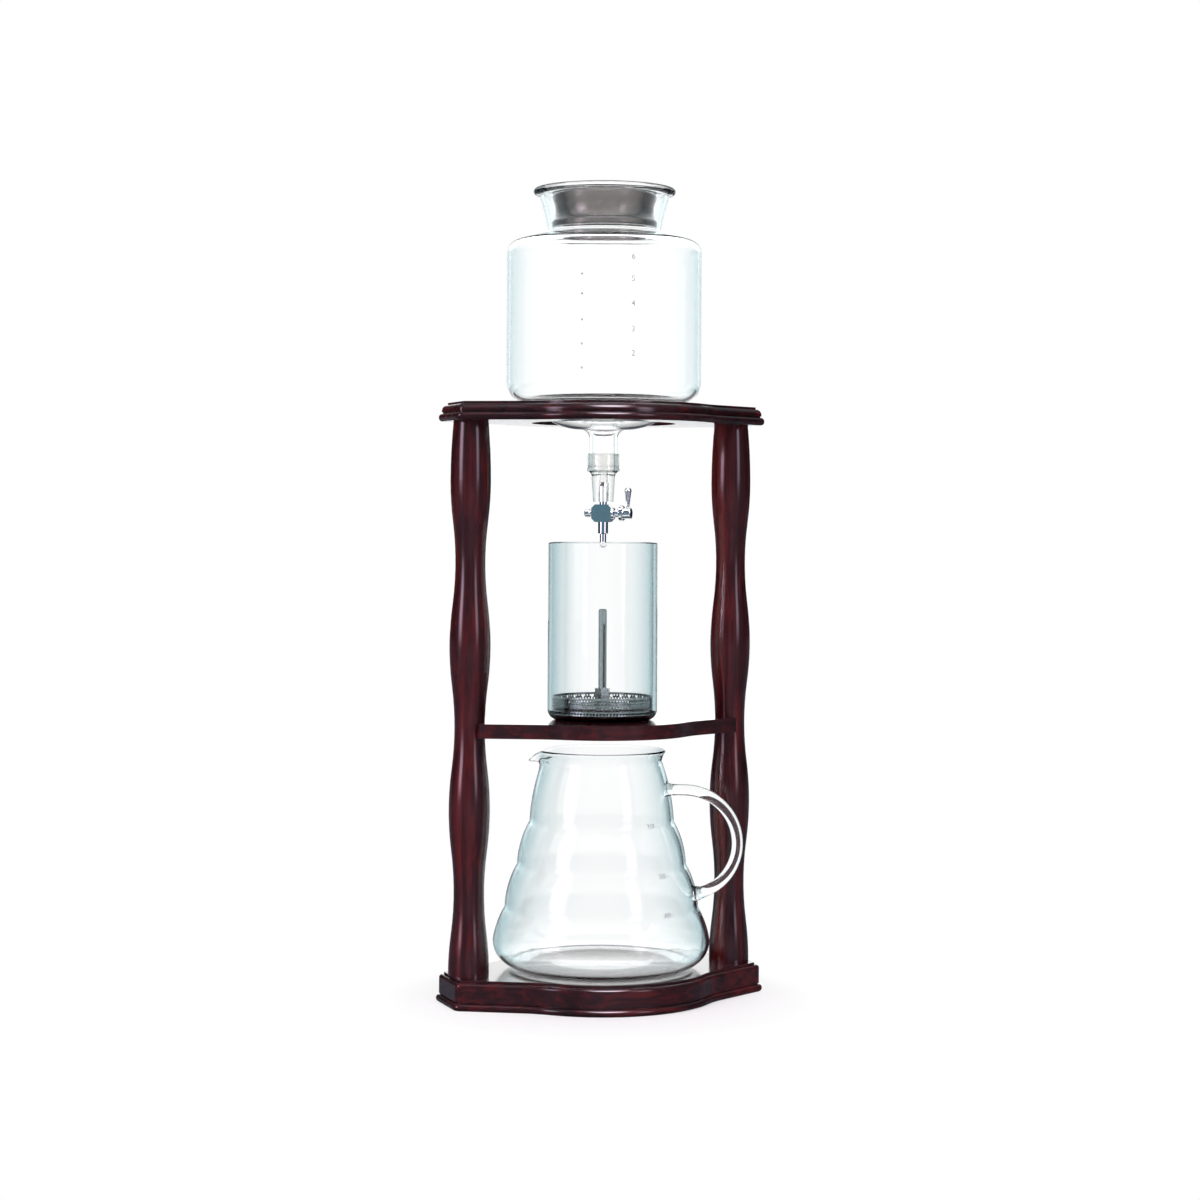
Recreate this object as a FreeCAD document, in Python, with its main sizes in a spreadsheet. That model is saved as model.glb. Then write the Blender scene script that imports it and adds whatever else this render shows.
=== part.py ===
"""Cold drip coffee tower: a lacquered wooden stand with a glass water chamber, a metal drip tap,
a glass brewer with its filter, and a ribbed glass jug.

Millimetres, +Z up. The origin is the middle of the base's underside, X runs from post to post
and -Y is the front. The chamber, tap, brewer and jug all stand on the Z axis.
"""
import FreeCAD
import Part
import Sketcher
import math
import os
import re

# Driving sizes: every length, diameter and gap that can be set by itself.
SIZES = {
    # base and top plate, which share one outline
    "post_margin": 15.0,           # post centre to the plate's blunt end
    "end_margin": 6.4,             # wood beside a post at the plate's end
    "nose_margin": 11.2,           # wood in front of the chamber at the plate's round nose
    "nose_step": 5.4,              # how far the nose stands proud of the straight flanks
    "blend_radius": 60.0,          # hollow blend between nose and flank
    "corner_radius": 6.0,
    "base_height": 17.5,
    "base_bead": 4.4,
    "base_round": 2.0,
    "base_lip": 1.4,
    "base_lip_inset": 1.1,
    "top_height": 11.0,
    "top_bead": 4.7,
    "top_round": 3.6,
    "top_lip": 1.2,
    "top_lip_inset": 0.2,
    "edge_inset": 1.8,             # bead to the face above it
    "edge_groove": 0.7,            # height and extra depth of the groove over the bead
    "hole_gap": 0.6,               # top plate's hole round the chamber's bowl
    # posts
    "post_diameter": 24.2,
    "post_wave_depth": 3.15,
    "post_top_taper": 1.7,
    "post_upper_waves": 1.86,      # waves between the shelf and the top plate
    # shelf
    "shelf_height": 8.5,
    "shelf_drop": 1.25,            # shelf's middle below the post's neck
    "shelf_margin": 21.2,          # wood in front of the brewer
    "shelf_nose_step": 6.0,
    "shelf_blend_radius": 60.0,
    "shelf_corner_radius": 1.5,
    "shelf_horn": 5.0,             # wood beside the post's neck
    "shelf_end_gap": 1.5,          # shelf's end face to the post's centre
    "shelf_hole": 24.0,
    # joinery
    "screw_head": 9.0,
    "screw_head_height": 3.4,
    "screw_shank": 4.6,
    "screw_length": 38.0,
    "screw_sink": 5.0,             # head below the base's underside
    "screw_slot": 1.2,
    "dowel_diameter": 8.0,
    "dowel_length": 24.0,
    "dowel_in_top": 7.0,
    "peg_diameter": 5.0,
    "peg_length": 18.0,
    "peg_in_post": 6.0,
    "wood_fit": 0.03,
    # water chamber
    "chamber_diameter": 117.0,
    "chamber_wall": 2.2,
    "chamber_corner": 14.0,
    "chamber_side": 90.6,          # seat to the shoulder's corner
    "chamber_height": 126.0,
    "shoulder_corner": 8.0,
    "shoulder_slope": 13.0,        # degrees
    "neck_diameter": 68.0,
    "neck_flare": 5.0,
    "neck_bow": 150.0,
    "neck_fillet": 3.0,
    "seat_width": 2.0,
    "bowl_radius": 66.0,
    "outlet_diameter": 17.0,
    "outlet_wall": 1.9,
    "outlet_drop": 39.4,
    "outlet_flare": 5.0,
    "outlet_tilt": 12.0,           # degrees from level where the bowl meets the outlet's flare
    # lid
    "lid_overhang": 3.7,
    "lid_thickness": 3.6,
    "plug_wall": 2.2,
    "seal_thickness": 3.9,
    "seal_height": 20.0,
    "seal_bead": 2.6,
    "seal_waist": 0.9,
    "seal_gap": 0.35,
    # sleeve between outlet and tap
    "sleeve_wall": 1.3,
    "sleeve_overlap": 10.3,
    "sleeve_floor": 3.4,
    "sleeve_tail": 18.4,
    "sleeve_tail_top": 14.2,
    "sleeve_tail_end": 12.4,
    "sleeve_throat": 4.4,
    # tap
    "tap_turn": -36.0,             # degrees, spindle's direction about the Z axis
    "block_width": 12.2,
    "block_height": 10.6,
    "block_depth": 10.0,
    "block_chamfer": 2.2,
    "stem_diameter": 5.5,
    "stem_neck": 1.7,
    "stem_length": 11.6,           # inside the sleeve
    "stem_spigot": 3.6,
    "socket_depth": 1.8,
    "flow_bore": 2.4,
    "plug_diameter": 4.6,
    "spindle_diameter": 3.2,
    "spindle_reach": 16.9,
    "collar_diameter": 4.9,
    "collar_length": 3.9,
    "collar_thread": 5.8,
    "collar_thread_length": 1.6,
    "tail_diameter": 2.4,
    "washer_diameter": 5.6,
    "washer_thickness": 0.6,
    "plug_nut_diameter": 4.6,
    "plug_nut_length": 3.0,
    "plug_nut_neck": 1.45,
    "ring_wire": 0.8,
    "ring_place": 2.6,             # seal ring to the flow's axis
    "running_gap": 0.05,
    "side_gap": 0.15,
    "knob_rim": 9.4,
    "knob_rim_length": 2.7,
    "knob_diameter": 6.7,
    "knob_length": 4.7,
    "lever_height": 15.6,          # above the spindle's axis
    "lever_place": 2.5,            # lever to the rim's outer face
    "lever_root": 1.7,
    "lever_head": 4.4,
    # drip spout
    "drip_collar": 6.2,
    "drip_collar_length": 7.2,
    "drip_tube": 3.9,
    "drip_tube_length": 4.6,
    "drip_bead": 4.6,
    "drip_bead_length": 4.3,
    "drip_bead_round": 1.2,
    "drip_bore": 1.6,
    "drip_dip": 4.0,               # tip below the brewer's rim
    # brewer
    "brewer_diameter": 65.6,
    "brewer_wall": 2.0,
    "brewer_height": 106.2,
    "brewer_corner": 5.5,
    "brewer_floor": 2.4,
    "brewer_outlet": 16.0,
    # filter
    "gasket_gap": 0.4,
    "gasket_height": 4.2,
    "gasket_width": 8.4,
    "gasket_round": 4.0,
    "cup_gap": 0.8,
    "cup_height": 7.7,
    "cup_sheet": 0.6,
    "cup_hole": 1.8,
    "cup_hole_pitch": 6.0,
    "tube_diameter": 5.0,
    "tube_bore": 3.0,
    "tube_height": 59.0,           # above the cup's floor
    "tube_plain": 8.8,
    "tube_slot": 1.0,
    "tube_flange": 9.0,
    "tube_flange_height": 0.9,
    "nut_width": 8.3,
    "nut_height": 11.5,
    # jug
    "jug_diameter": 130.0,
    "jug_height": 130.2,
    "jug_wall": 2.0,
    "jug_floor": 3.5,
    "jug_foot": 88.0,
    "jug_foot_width": 10.0,
    "jug_foot_hollow": 1.4,
    "jug_belly_height": 16.8,
    "jug_belly_radius": 16.0,
    "jug_belly_end": 15.0,         # degrees from level where the belly meets the foot
    "jug_rib_first": 87.5,         # height of the highest rib groove
    "jug_rib_pitch": 25.6,
    "jug_rib_diameter": 86.6,
    "jug_rib_growth": 7.35,        # radius gained from one groove to the next
    "jug_rib_bulge": 55.0,
    "jug_neck_bulge": 120.0,
    "jug_waist_diameter": 71.6,
    "jug_rim_rise": 6.7,
    "jug_rim_flare": 2.3,
    "jug_rim_radius": 14.0,
    "jug_turn": -30.0,             # degrees, handle's direction about the Z axis
    "jug_head_gap": 9.8,           # rim to the shelf's underside
    "jug_side_gap": 6.4,           # belly to each post
    "lip_root": 30.0,              # where the pouring lip starts inside the neck
    "lip_reach": 6.6,              # its tip beyond the rim
    "lip_width": 30.2,
    "lip_depth": 12.2,
    "lip_rise": 2.8,
    "lip_fall": 6.7,
    "lip_tip_width": 9.0,
    "lip_tip_depth": 2.4,
    "lip_tip_wall": 1.3,
    "handle_rod": 6.6,
    "handle_reach": 85.1,
    "handle_loop": 31.2,
    "handle_middle": 76.0,
}

# Worked sizes: what follows from the driving sizes, and where each piece stands.
WORKED = {
    "post_spacing": "jug_diameter + 2 * jug_side_gap + post_diameter",
    "post_place": "post_spacing / 2",
    "post_radius": "post_diameter / 2",
    "post_neck": "post_radius - post_wave_depth",
    "plate_half_length": "post_place + post_margin",
    "plate_half_end": "post_radius + end_margin",
    "plate_nose": "chamber_diameter / 2 + nose_margin",
    "plate_reach": "plate_nose - nose_step",
    "shelf_half_length": "post_place - shelf_end_gap",
    "shelf_half_end": "post_neck + shelf_horn",
    "shelf_nose": "brewer_diameter / 2 + shelf_margin",
    "shelf_reach": "shelf_nose - shelf_nose_step",
    "shelf_under": "base_height + jug_height + jug_head_gap",
    "shelf_middle": "shelf_under + shelf_height / 2",
    "shelf_top": "shelf_under + shelf_height",
    "neck_level": "shelf_middle + shelf_drop",
    "brewer_rim": "shelf_top + brewer_height",
    "drip_tip": "brewer_rim - drip_dip",
    "block_under": "drip_tip + drip_bead_length + drip_tube_length + drip_collar_length",
    "tap_level": "block_under + block_height / 2",
    "sleeve_under": "block_under + block_height + stem_neck",
    "outlet_end": "sleeve_under + sleeve_tail",
    "plate_top": "outlet_end + outlet_drop",
    "plate_under": "plate_top - top_height",
    "rim_level": "plate_top + chamber_height",
    "seat_outer": "chamber_diameter / 2 - chamber_corner",
    "seat_inner": "seat_outer - seat_width",
    "plate_hole": "seat_inner + hole_gap",
    "chamber_radius": "chamber_diameter / 2",
    "outlet_radius": "outlet_diameter / 2",
    "neck_radius": "neck_diameter / 2",
    "neck_foot": "plate_top + chamber_side + shoulder_corner * cos(shoulder_slope)"
                 " + (chamber_radius - shoulder_corner * (1 - sin(shoulder_slope)) - neck_radius"
                 " - neck_fillet * (1 - sin(shoulder_slope))) * tan(shoulder_slope)"
                 " + neck_fillet * cos(shoulder_slope)",
    "seal_radius": "neck_radius - chamber_wall - seal_gap",
    "plug_radius": "seal_radius - seal_thickness",
    "brewer_inner": "brewer_diameter / 2 - brewer_wall",
    "gasket_under": "shelf_top + brewer_floor",
    "cup_under": "gasket_under + gasket_height",
    "cup_radius": "brewer_inner - cup_gap",
    "lower_wave": "(neck_level - base_height) / 1.5",
    "upper_wave": "(plate_under - neck_level) / post_upper_waves",
    "knob_start": "block_width / 2 + collar_length + side_gap",
    "knob_outer": "knob_start + knob_rim_length",
    "jug_radius": "jug_diameter / 2",
    "handle_place": "handle_reach - handle_rod / 2 - handle_loop",
}

NAME = re.compile(r"[a-z][a-z_]*")

document = FreeCAD.newDocument("cold_drip_tower")
sheet = document.addObject("Spreadsheet::Sheet", "Sizes")
pieces = []
cuts = []


def fill_sheet():
    """Write every driving size into the spreadsheet, with its name as the cell's alias."""
    for row, (name, size) in enumerate(SIZES.items(), start=1):
        sheet.set(f"A{row}", name)
        sheet.set(f"B{row}", str(size))
        sheet.setAlias(f"B{row}", name)
    document.recompute()


def bind(expression):
    """Spell an expression out in cells of the spreadsheet, worked sizes included."""
    def spell(match):
        name = match.group()
        if name in SIZES:
            return "Sizes." + name
        if name in WORKED:
            return "(" + bind(WORKED[name]) + ")"
        return name
    return NAME.sub(spell, expression)


def value(expression):
    """The number that an expression comes to."""
    found = sheet.evalExpression(bind(expression))
    return float(getattr(found, "Value", found))


# ---------------------------------------------------------------- bodies, sketches and features

def new_body(label, **placing):
    """A body that is exported as one piece. across and level place it, turn turns it about Z."""
    body = document.addObject("PartDesign::Body", label)
    body.Label = label
    body.Placement = FreeCAD.Placement(FreeCAD.Vector(), FreeCAD.Rotation(FreeCAD.Vector(0, 0, 1), 1))
    body.setExpression("Placement.Base.x", bind(placing.get("across", "0")))
    body.setExpression("Placement.Base.z", bind(placing.get("level", "0")))
    body.setExpression("Placement.Rotation.Angle", bind(placing.get("turn", "0")))
    pieces.append(body)
    return body


def new_sketch(body, role, offset="0"):
    """A sketch on one of the body's own origin planes, moved along the plane's normal."""
    sketch = body.newObject("Sketcher::SketchObject", body.Label + "_sketch")
    plane = next(item for item in body.Origin.OriginFeatures if item.Role == role)
    sketch.AttachmentSupport = [(plane, "")]
    sketch.MapMode = "FlatFace"
    sketch.setExpression("AttachmentOffset.Base.z", bind(offset))
    return sketch


def arc_between(start, end, radius, turn):
    """The shorter arc from start to end, turning left or right as it goes."""
    side = 1 if turn == "left" else -1
    chord = end - start
    half = chord.Length / 2
    across = FreeCAD.Vector(-chord.y, chord.x, 0).normalize()
    centre = start + chord * 0.5 + across * (side * math.sqrt(max(radius ** 2 - half ** 2, 0)))
    first, last = (start, end) if turn == "left" else (end, start)
    angles = [math.atan2(point.y - centre.y, point.x - centre.x) for point in (first, last)]
    circle = Part.Circle(centre, FreeCAD.Vector(0, 0, 1), radius)
    return Part.ArcOfCircle(circle, angles[0], angles[1])


def hold(sketch, edge, point, corner):
    """Fix one end of an edge at the place that a pair of expressions gives."""
    for kind, axis, expression in (("DistanceX", -2, corner[0]), ("DistanceY", -1, corner[1])):
        if expression == "0":
            sketch.addConstraint(Sketcher.Constraint("PointOnObject", edge, point, axis))
            continue
        index = sketch.addConstraint(
            Sketcher.Constraint(kind, -1, 1, edge, point, value(expression)))
        sketch.setExpression(f"Constraints[{index}]", bind(expression))


def trace(sketch, path, closed=True):
    """Draw an outline. Each corner is (across, up), or (across, up, turn, radius) where an arc
    leads to the next corner."""
    points = [FreeCAD.Vector(value(corner[0]), value(corner[1]), 0) for corner in path]
    count = len(path) if closed else len(path) - 1
    ends = []
    for index in range(count):
        start, end = points[index], points[(index + 1) % len(path)]
        if len(path[index]) == 2:
            edge = sketch.addGeometry(Part.LineSegment(start, end), False)
            ends.append((edge, 1, 2))
            continue
        turn, radius = path[index][2:]
        edge = sketch.addGeometry(arc_between(start, end, value(radius), turn), False)
        ends.append((edge, 1, 2) if turn == "left" else (edge, 2, 1))
        constraint = sketch.addConstraint(Sketcher.Constraint("Radius", edge, value(radius)))
        sketch.setExpression(f"Constraints[{constraint}]", bind(radius))
    for index in range(count if closed else count - 1):
        edge, _, last = ends[index]
        following, first, _ = ends[(index + 1) % count]
        sketch.addConstraint(Sketcher.Constraint("Coincident", edge, last, following, first))
    for index in range(count):
        hold(sketch, ends[index][0], ends[index][1], path[index])
    if not closed:
        hold(sketch, ends[-1][0], ends[-1][2], path[-1])
    return sketch


def circle(sketch, across, up, radius):
    """Draw one circle, its centre and radius bound to expressions."""
    centre = FreeCAD.Vector(value(across), value(up), 0)
    edge = sketch.addGeometry(Part.Circle(centre, FreeCAD.Vector(0, 0, 1), value(radius)), False)
    hold(sketch, edge, 3, (across, up))
    index = sketch.addConstraint(Sketcher.Constraint("Radius", edge, value(radius)))
    sketch.setExpression(f"Constraints[{index}]", bind(radius))
    return sketch


def add_feature(body, kind, profile, **sizes):
    """Add a PartDesign feature and bind its sizes."""
    feature = body.newObject("PartDesign::" + kind, body.Label + "_" + kind.lower())
    feature.Profile = profile
    for name, expression in sizes.items():
        feature.setExpression(name, bind(expression))
    return feature


def add_turned(body, path, axis="V_Axis"):
    """Turn an outline right round one of the sketch's axes."""
    sketch = trace(new_sketch(body, "XZ_Plane"), path)
    feature = add_feature(body, "Revolution", sketch, Angle="360")
    feature.ReferenceAxis = (sketch, [axis])
    return feature


def cut_turned(body, path, axis="V_Axis"):
    """Cut an outline that is turned right round one of the sketch's axes."""
    sketch = trace(new_sketch(body, "XZ_Plane"), path)
    feature = add_feature(body, "Groove", sketch, Angle="360")
    feature.ReferenceAxis = (sketch, [axis])
    cuts.append(feature)


def cut_pocket(body, sketch, depth, upward=False):
    """Cut a sketch's outline to a depth, against its normal or, upward, along it."""
    feature = add_feature(body, "Pocket", sketch, Length=depth)
    feature.Reversed = upward
    cuts.append(feature)
    return feature


def turned_body(label, path, axis="V_Axis", **placing):
    """A piece that is one turned outline."""
    body = new_body(label, **placing)
    add_turned(body, path, axis)
    return body


def pair(label, piece):
    """A piece and its twin on the other side of the YZ plane, exported as one node."""
    pieces.remove(piece)
    twin = document.addObject("Part::Mirroring", label + "_twin")
    twin.Source = piece
    twin.Normal = FreeCAD.Vector(1, 0, 0)
    both = document.addObject("Part::Compound", label)
    both.Links = [piece, twin]
    piece.Label = label + "_one"
    both.Label = label
    pieces.append(both)
    return both


# ---------------------------------------------------------------- wooden stand

def plate_outline(kind, blend, corner, inset="0"):
    """Corners of a plate's outline: a round nose front and back, hollow blends, straight flanks
    and blunt ends with rounded corners. kind is plate or shelf, and inset moves it inwards."""
    wide, deep = f"{kind}_half_length", f"{kind}_half_end"
    slope = f"(asin({kind}_reach / sqrt(({wide})^2 + ({deep})^2)) - atan({deep} / {wide}))"
    reach, nose, length = f"({kind}_reach - {inset})", f"({kind}_nose - {inset})", f"({wide} - {inset})"
    blend, corner = f"({blend} + {inset})", f"({corner} - {inset})"
    along = f"sqrt(({nose} + {blend})^2 - ({reach} + {blend})^2)"
    hub_x = f"(({reach} + {blend}) * sin({slope}) + {along} * cos({slope}))"
    hub_y = f"(({reach} + {blend}) * cos({slope}) - {along} * sin({slope}))"
    turn_y = f"(({reach} - {corner} - ({length} - {corner}) * sin({slope})) / cos({slope}))"
    quarter = [
        (length, turn_y),
        (f"({length} - {corner} + {corner} * sin({slope}))",
         f"({turn_y} + {corner} * cos({slope}))"),
        (f"({hub_x} - {blend} * sin({slope}))", f"({hub_y} - {blend} * cos({slope}))"),
        (f"({hub_x} * {nose} / ({nose} + {blend}))", f"({hub_y} * {nose} / ({nose} + {blend}))"),
    ]
    path = []
    for sign_x, sign_y in (("", ""), ("-", ""), ("-", "-"), ("", "-")):
        corners = quarter if sign_x == sign_y else reversed(quarter)
        path += [(sign_x + x, sign_y + y) for x, y in corners]
    bends = [("left", corner), (), ("right", blend), ("left", nose),
             ("right", blend), (), ("left", corner), ()]
    return [point + bend for point, bend in zip(path, bends * 2)]


def layer(body, inset, start, height, radius=None, levels=()):
    """One layer of a moulded edge, with the outline edges at the given levels rounded."""
    outline = trace(new_sketch(body, "XY_Plane", start),
                    plate_outline("plate", "blend_radius", "corner_radius", f"({inset})"))
    pad = add_feature(body, "Pad", outline, Length=height)
    if radius is None:
        return
    document.recompute()
    heights = [value(level) for level in levels]
    edges = [f"Edge{number}" for number, edge in enumerate(pad.Shape.Edges, start=1)
             if edge.BoundBox.ZLength < 1e-6
             and any(abs(edge.BoundBox.ZMin - height) < 1e-6 for height in heights)]
    fillet = body.newObject("PartDesign::Fillet", body.Label + "_fillet")
    fillet.Base = (pad, edges)
    fillet.setExpression("Radius", bind(radius))
    body.Tip = fillet


def moulded_plate(kind, level):
    """A board of the shared outline. From below its edge has a half-round bead, a groove, a face
    with a rounded top and a thin lip. kind is base or top."""
    body = new_body(kind + "_plate", level=level)
    bead, top = f"{kind}_bead", f"({kind}_height - {kind}_lip)"
    face = f"({bead} + edge_groove)"
    layer(body, "0", "0", bead, f"{bead} / 2 - 0.05", ("0", bead))
    layer(body, "edge_inset + edge_groove", bead, "edge_groove")
    layer(body, "edge_inset", face, f"{top} - {face}", f"{kind}_round", (top,))
    layer(body, f"edge_inset + {kind}_round - 0.2 + {kind}_lip_inset", top, f"{kind}_lip")
    return body


def drill_pair(body, offset, radius, depth, upward):
    """Two round holes in a board, one under each post."""
    sketch = new_sketch(body, "XY_Plane", offset)
    for side in ("", "-"):
        circle(sketch, side + "post_place", "0", radius)
    return cut_pocket(body, sketch, depth, upward)


def base_plate():
    body = moulded_plate("base", "0")
    drill_pair(body, "0", "screw_head / 2 + 0.5", "screw_sink + screw_head_height", True)
    drill_pair(body, "0", "screw_shank / 2 + wood_fit", "base_height + 1", True)


def top_plate():
    body = moulded_plate("top", "plate_under")
    hole = circle(new_sketch(body, "XY_Plane", "top_height"), "0", "0", "plate_hole")
    cut_pocket(body, hole, "top_height")
    drill_pair(body, "0", "dowel_diameter / 2 + wood_fit", "dowel_in_top", True)


def post_profile():
    """A turned post: round bulges and necks that follow each other as tangent arcs. It starts at
    its fattest on the base, and one neck lies at the shelf."""
    quarter_depth = "post_wave_depth / 2"
    middle = f"post_radius - {quarter_depth}"
    lower = "((lower_wave / 4)^2 + (post_wave_depth / 2)^2) / post_wave_depth"
    upper = "((upper_wave / 4)^2 + (post_wave_depth / 2)^2) / post_wave_depth"
    last = "(plate_under - neck_level - 1.5 * upper_wave)"
    cap = f"({last}^2 + post_top_taper^2) / (2 * post_top_taper)"
    neck = "(neck_level - base_height)"
    return [
        ("0", "0"),
        ("post_radius", "0", "left", lower),
        (middle, "0.25 * lower_wave", "right", lower),
        (middle, "0.75 * lower_wave", "left", lower),
        (middle, "1.25 * lower_wave", "right", lower),
        ("post_neck", neck, "right", upper),
        (middle, f"{neck} + 0.25 * upper_wave", "left", upper),
        (middle, f"{neck} + 0.75 * upper_wave", "right", upper),
        (middle, f"{neck} + 1.25 * upper_wave", "left", upper),
        ("post_radius", f"{neck} + 1.5 * upper_wave", "left", cap),
        ("post_radius - post_top_taper", "plate_under - base_height"),
        ("0", "plate_under - base_height"),
    ]


def post(label, across, turn):
    """One post, drilled for its screw, its dowel and the shelf's peg, which enters at local -X."""
    body = new_body(label, across=across, level="base_height", turn=turn)
    add_turned(body, post_profile())
    screw = circle(new_sketch(body, "XY_Plane"), "0", "0", "screw_shank / 2 + wood_fit")
    cut_pocket(body, screw, "screw_sink + screw_head_height + screw_length - base_height", True)
    dowel = circle(new_sketch(body, "XY_Plane", "plate_under - base_height"),
                   "0", "0", "dowel_diameter / 2 + wood_fit")
    cut_pocket(body, dowel, "dowel_length - dowel_in_top")
    peg = circle(new_sketch(body, "YZ_Plane", "-post_radius"),
                 "0", "shelf_middle - base_height", "peg_diameter / 2 + wood_fit")
    cut_pocket(body, peg, "post_wave_depth + peg_in_post", True)


def brewer_shelf():
    body = new_body("brewer_shelf", level="shelf_under")
    outline = trace(new_sketch(body, "XY_Plane"), plate_outline(
        "shelf", "shelf_blend_radius", "shelf_corner_radius"))
    add_feature(body, "Pad", outline, Length="shelf_height")
    openings = circle(new_sketch(body, "XY_Plane", "shelf_height"), "0", "0", "shelf_hole / 2")
    for side in ("", "-"):
        circle(openings, side + "post_place", "0", "post_neck + 0.25")
    cut_pocket(body, openings, "shelf_height")
    for role_offset, upward in (("shelf_half_length", False), ("-shelf_half_length", True)):
        peg = circle(new_sketch(body, "YZ_Plane", role_offset),
                     "0", "shelf_height / 2", "peg_diameter / 2 + wood_fit")
        cut_pocket(body, peg, "peg_length - peg_in_post + post_neck - shelf_end_gap", upward)


def base_screws():
    """Slotted wood screws that pull the posts down onto the base from below."""
    screw = new_body("base_screws", across="post_place")
    head, sunk = "screw_head / 2", "screw_sink"
    add_turned(screw, [
        ("0", sunk),
        (f"{head} - 0.6", sunk),
        (head, f"{sunk} + 0.6"),
        (head, f"{sunk} + screw_head_height"),
        ("screw_shank / 2", f"{sunk} + screw_head_height"),
        ("screw_shank / 2", f"{sunk} + screw_head_height + screw_length - 5"),
        ("0", f"{sunk} + screw_head_height + screw_length"),
    ])
    slot = trace(new_sketch(screw, "XY_Plane", sunk), [
        ("screw_head", "screw_slot / 2"), ("-screw_head", "screw_slot / 2"),
        ("-screw_head", "-screw_slot / 2"), ("screw_head", "-screw_slot / 2")])
    cut_pocket(screw, slot, "screw_head_height / 2", True)
    pair("base_screws", screw)


def rod_path(start, length, radius, chamfer="0.6"):
    """A round rod with chamfered ends, as (along, radius) corners."""
    return [
        (start, "0"),
        (start, f"{radius} - {chamfer}"),
        (f"{start} + {chamfer}", radius),
        (f"{start} + {length} - {chamfer}", radius),
        (f"{start} + {length}", f"{radius} - {chamfer}"),
        (f"{start} + {length}", "0"),
    ]


def dowels():
    """Dowels between posts and top plate, and pegs between posts and shelf."""
    start = "plate_under + dowel_in_top - dowel_length"
    upright = [(radius, along) for along, radius in rod_path(start, "dowel_length",
                                                             "dowel_diameter / 2")]
    pair("top_dowels", turned_body("top_dowels", upright, across="post_place"))
    start = "post_place - post_neck + peg_in_post - peg_length"
    level_path = rod_path(start, "peg_length", "peg_diameter / 2")
    pair("shelf_pegs", turned_body("shelf_pegs", level_path, "H_Axis", level="shelf_middle"))


# ---------------------------------------------------------------- water chamber and lid

def water_chamber():
    """A round glass jar with a wide flared neck, a dished bottom and an outlet tube under it."""
    wall, radius, corner = "chamber_wall", "chamber_radius", "shoulder_corner"
    flare, pipe = "outlet_flare", "outlet_radius"
    flare_level = "(0 - outlet_drop / 2)"
    slope_x = f"{radius} - {corner} + {corner} * sin(shoulder_slope)"
    slope_z = f"chamber_side + {corner} * cos(shoulder_slope)"
    inner = f"({corner} - {wall})"
    neck = "(neck_foot - plate_top)"
    fillet = "neck_fillet"
    outer_fillet = f"({fillet} + {wall})"
    turned_body("water_chamber", [
        (pipe, "-outlet_drop"),
        (pipe, flare_level, "right", flare),
        (f"{pipe} + {flare} * (1 - sin(outlet_tilt))",
         f"{flare_level} + {flare} * cos(outlet_tilt)", "left", "bowl_radius"),
        ("seat_inner", "0"),
        ("seat_outer", "0", "left", "chamber_corner"),
        (radius, "chamber_corner"),
        (radius, "chamber_side", "left", corner),
        (slope_x, slope_z),
        (f"neck_radius + {fillet} * (1 - sin(shoulder_slope))",
         f"{neck} - {fillet} * cos(shoulder_slope)", "right", fillet),
        ("neck_radius", neck, "right", "neck_bow"),
        (f"neck_radius + neck_flare", f"chamber_height - {wall} / 2", "left", f"{wall} / 2"),
        (f"neck_radius + neck_flare - {wall} / 2", "chamber_height", "left", f"{wall} / 2"),
        (f"neck_radius + neck_flare - {wall}", f"chamber_height - {wall} / 2",
         "left", f"neck_bow + {wall}"),
        (f"neck_radius - {wall}", neck, "left", outer_fillet),
        (f"neck_radius - {wall} + {outer_fillet} * (1 - sin(shoulder_slope))",
         f"{neck} - {outer_fillet} * cos(shoulder_slope)"),
        (f"{radius} - {corner} + {inner} * sin(shoulder_slope)",
         f"chamber_side + {inner} * cos(shoulder_slope)", "right", inner),
        (f"{radius} - {wall}", "chamber_side"),
        (f"{radius} - {wall}", "chamber_corner", "right", f"chamber_corner - {wall}"),
        ("seat_outer", wall),
        ("seat_inner", wall, "right", f"bowl_radius - {wall}"),
        (f"{pipe} + {flare} - ({flare} + outlet_wall) * sin(outlet_tilt)",
         f"{flare_level} + ({flare} + outlet_wall) * cos(outlet_tilt)",
         "left", f"{flare} + outlet_wall"),
        (f"{pipe} - outlet_wall", flare_level),
        (f"{pipe} - outlet_wall", "-outlet_drop"),
    ], level="plate_top")


def lid():
    """A glass lid: a flat disc on the chamber's rim and a hollow plug under it, which carries a
    soft band that fills the neck."""
    half = "lid_thickness / 2"
    disc = "(neck_radius + neck_flare + lid_overhang)"
    turned_body("lid_glass", [
        ("0", "lid_thickness"),
        ("0", "0"),
        ("plug_radius - plug_wall", "0"),
        ("plug_radius - plug_wall", "-seal_height"),
        ("plug_radius", "-seal_height"),
        ("plug_radius", "0"),
        (f"{disc} - {half}", "0", "left", half),
        (disc, half, "left", half),
        (f"{disc} - {half}", "lid_thickness"),
    ], level="rim_level")
    bead, waist = "seal_bead", "seal_radius - seal_waist"
    turned_body("lid_seal", [
        ("plug_radius + wood_fit", "0"),
        ("plug_radius + wood_fit", "-seal_height"),
        ("seal_radius - 1.2", "-seal_height", "left", "1.2"),
        ("seal_radius", "1.2 - seal_height"),
        ("seal_radius", f"{bead} - seal_height", "left", "8"),
        (waist, f"{bead} + 2 - seal_height"),
        (waist, f"-{bead} - 1"),
        ("seal_radius - 0.2", f"-{bead}"),
        ("seal_radius - 0.2", "-1", "left", "1"),
        ("seal_radius - 1.2", "0"),
    ], level="rim_level")


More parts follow.
